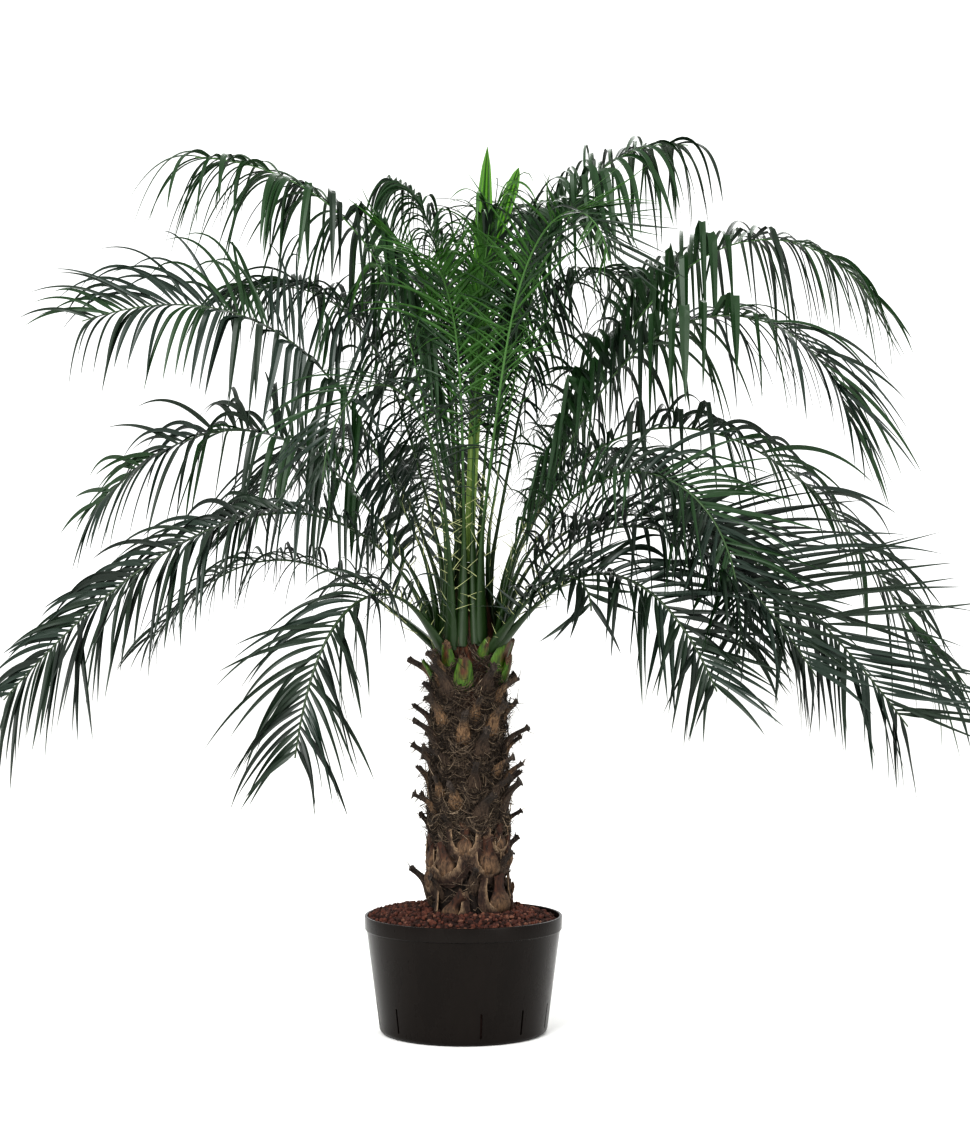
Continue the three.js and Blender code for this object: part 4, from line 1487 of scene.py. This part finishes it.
    def add_leaflets(self, heaps: dict[LeafTint, MeshHeap]) -> None:
        """Adds both rows of leaflets, dealt out spray by spray.

        Args:
            heaps: Heap of each of the age group's tints.
        """
        outline = np.linspace(0, 1, self.leaf_steps + 1)
        taper = lerp(0.45, 1, smoothstep(outline, 0, 0.22)) * (1 - outline**2.2) + 0.015
        section = np.array(((1, self.keel), (0, -self.keel), (-1, self.keel), (0, -self.keel)))
        section[1, 1] += self.leaf_thickness
        section[3, 1] -= self.leaf_thickness
        for hand, row, offset in ((1.0, self.row.left, 0.3), (-1.0, self.row.right, 0.7)):
            place = self.leaf_places(row, offset)
            count = len(place)
            paths, first = self.leaf_paths(place, hand, row)
            sides = sides_along(paths, first)
            turned = self.dice.normal(row.hang.value[-1], 18, (count, 1)) * smoothstep(outline, 0.05, 0.6)
            turn = np.radians(turned)[..., None]
            sides = sides * np.cos(turn) + np.cross(headings(paths), sides) * np.sin(turn) * hand
            outer = row.hang.value[0] * smoothstep(place, self.crease_fades, self.crease_ends)[:, None]
            inner = smoothstep(place, self.blade_start, self.blade_start + 0.32)[:, None]
            half = row.width / 2 * lerp(1, self.outer_width, outer) * lerp(self.first_width, 1, inner)
            wide = half * self.dice.normal(1, 0.12, (count, 1)) * taper
            sprays = np.arange(count) // self.spray
            dealt = self.dice.choice(len(self.group.tints), sprays.max() + 1, p=self.tint_shares)[sprays]
            for number, tint in enumerate(self.group.tints):
                pick = dealt == number
                if pick.any():
                    shape = sweep(paths[pick], sides[pick], wide[pick], wide[pick], section)
                    heaps[tint].add(shape.points, {0: shape.groups()})


@dataclass
class SpearLeaf:
    """The youngest leaf, still closed and pleated, that stands on the tip of the heart."""

    trunk_x: float
    foot_z: float = 735.7
    top_z: float = 1388
    lean: float = 2.6
    outline: tuple[tuple[float, float], ...] = (
        (0, 6), (0.35, 7.5), (0.65, 11.5), (0.86, 10.5), (0.95, 6), (1, 0.3),
    )
    pleats: int = 7
    pleat_depth: float = 0.28
    prongs: tuple[tuple[float, ...], ...] = ((0, 1, 0, 1, 0.4), (0.66, 0.95, 15, 0.75, 0))

    def build(self) -> None:
        """Builds the closed spear and the prong that has begun to open beside it."""
        share = np.linspace(0, 1, 46)
        angle = np.linspace(0, 2 * math.pi, self.pleats * 4, endpoint=False)
        fold = 1 - self.pleat_depth * np.cos(self.pleats * angle)
        section = np.stack((np.cos(angle) * fold, np.sin(angle) * fold), -1)
        # Faces beside each pleat's inner valley: painted shade, as they take the darker fresh green.
        folded = np.isin(np.arange(len(angle)) % 4, (0, 3))
        heap = MeshHeap("spear_leaf_pleated", LeafTint.BRIGHT.value, LeafTint.FRESH.value, SPEAR_FOOT)
        for start, top, lean, girth, pale in self.prongs:
            height = (self.top_z - self.foot_z) * (start + (top - start) * share)
            bend = math.tan(math.radians(self.lean)) * height
            bend += math.tan(math.radians(lean)) * (height - height[0])
            path = np.stack((self.trunk_x + bend, 0 * share, self.foot_z + height), -1)[None]
            radius = np.interp(share, *zip(*self.outline))[None] * girth
            sides = sides_along(path, np.array(((1.0, 0.0, 0.0),)))
            shape = sweep(path, sides, radius, radius, section)
            upper = share[:-1] >= pale
            walls = shape.walls[:, upper]
            # Ridge faces take the bright green; the valley faces take the darker green as painted shade in
            # the pleats.
            groups = {
                0: [walls[:, :, ~folded].reshape(-1, 4), shape.tips],
                1: [walls[:, :, folded].reshape(-1, 4)],
                2: [shape.walls[:, ~upper].reshape(-1, 4), shape.roots],
            }
            heap.add(shape.points, groups)
        heap.make("spear_leaf", ["spear_leaf"], 60)


@dataclass
class Crown:
    """All fronds, joined by age group and kind."""

    trunk_x: float

    def build(self) -> None:
        """Builds stalks, thorns and leaflets of each age group."""
        fronds = [Frond(row, i + 1, len(FRONDS), self.trunk_x) for i, row in enumerate(FRONDS)]
        for age in FrondAge:
            word = age.name.lower()
            mine = [frond for frond in fronds if frond.group is age]
            nodes = [node for frond in mine for node in frond.nodes]
            stalks = MeshHeap(f"stalks_{word}", *age.stalks)
            thorns = MeshHeap(f"thorns_{word}", THORN)
            names = {tint: f"leaflets_{word}_{tint.name.lower()}" for tint in age.tints}
            leaves = {tint: MeshHeap(name, tint.value) for tint, name in names.items()}
            for frond in mine:
                frond.add_stalk(stalks)
                frond.add_thorns(thorns)
                frond.add_leaflets(leaves)
            stalks.make(age.slot, nodes, 60)
            thorns.make(age.slot, nodes, 60)
            for heap in leaves.values():
                heap.make(age.slot, nodes, 34)


@dataclass
class Studio:
    """Plain pale floor, soft light and a level camera at the photograph's place."""

    camera_place: tuple[float, float, float] = (0.0338, -3.8, 0.729)
    lens: float = 76.9
    sensor: float = 36
    floor_size: float = 30
    aim: tuple[float, float, float] = (0, 0, 0.75)
    sky_strength: float = 0.92

    def camera(self) -> None:
        """Sets the camera level, looking along +Y."""
        data = bpy.data.cameras.new("camera")
        data.lens = self.lens
        data.sensor_width = self.sensor
        camera = add_object("camera", data)
        camera.location = self.camera_place
        camera.rotation_euler = (math.radians(90), 0, 0)
        bpy.context.scene.camera = camera

    def floor(self) -> None:
        """Lays the floor."""
        half = self.floor_size / 2
        mesh = bpy.data.meshes.new("floor")
        corners = [(-half, -half, 0), (half, -half, 0), (half, half, 0), (-half, half, 0)]
        mesh.from_pydata(corners, [], [(0, 1, 2, 3)])
        mesh.materials.append(FLOOR_PAINT.make())
        floor = add_object("floor", mesh)

    def lamp(self, name: str, place: tuple[float, float, float], size: float, power: float) -> None:
        """Hangs a square softbox that faces the plant.

        Args:
            name: Name of the lamp.
            place: Where it hangs, in metres.
            size: Length of its side, in metres.
            power: Power in watts.
        """
        data = bpy.data.lights.new(name, "AREA")
        data.size = size
        data.energy = power
        lamp = add_object(name, data)
        lamp.location = place
        lamp.rotation_mode = "QUATERNION"
        lamp.rotation_quaternion = (Vector(self.aim) - Vector(place)).to_track_quat("-Z", "Y")

    def build(self) -> None:
        """Sets camera, floor, sky and lamps."""
        self.camera()
        self.floor()
        world = bpy.data.worlds.new("studio")
        world.use_nodes = True
        sky = world.node_tree.nodes["Background"]
        sky.inputs["Color"].default_value = linear("#ffffff")
        sky.inputs["Strength"].default_value = self.sky_strength
        scene = bpy.context.scene
        scene.world = world
        scene.view_settings.view_transform = "Standard"
        scene.view_settings.look = "High Contrast"
        self.lamp("key_light", (-1.4, -3.2, 2.8), 1.6, 110)
        self.lamp("fill_light", (2.4, -2.8, 1.4), 1.4, 25)
        self.lamp("back_light", (0.8, 2.8, 3.0), 2.0, 40)


def main() -> None:
    """Builds the studio and every part of the plant in order."""
    logging.basicConfig(level=logging.INFO, format="%(message)s")
    Studio().build()
    pot = NurseryPot()
    pot.build()
    trunk = Trunk()
    ClayGranulate(pot).build()
    trunk.build()
    Crown(trunk.x).build()
    SpearLeaf(trunk.x).build()


if __name__ == "__main__":
    main()
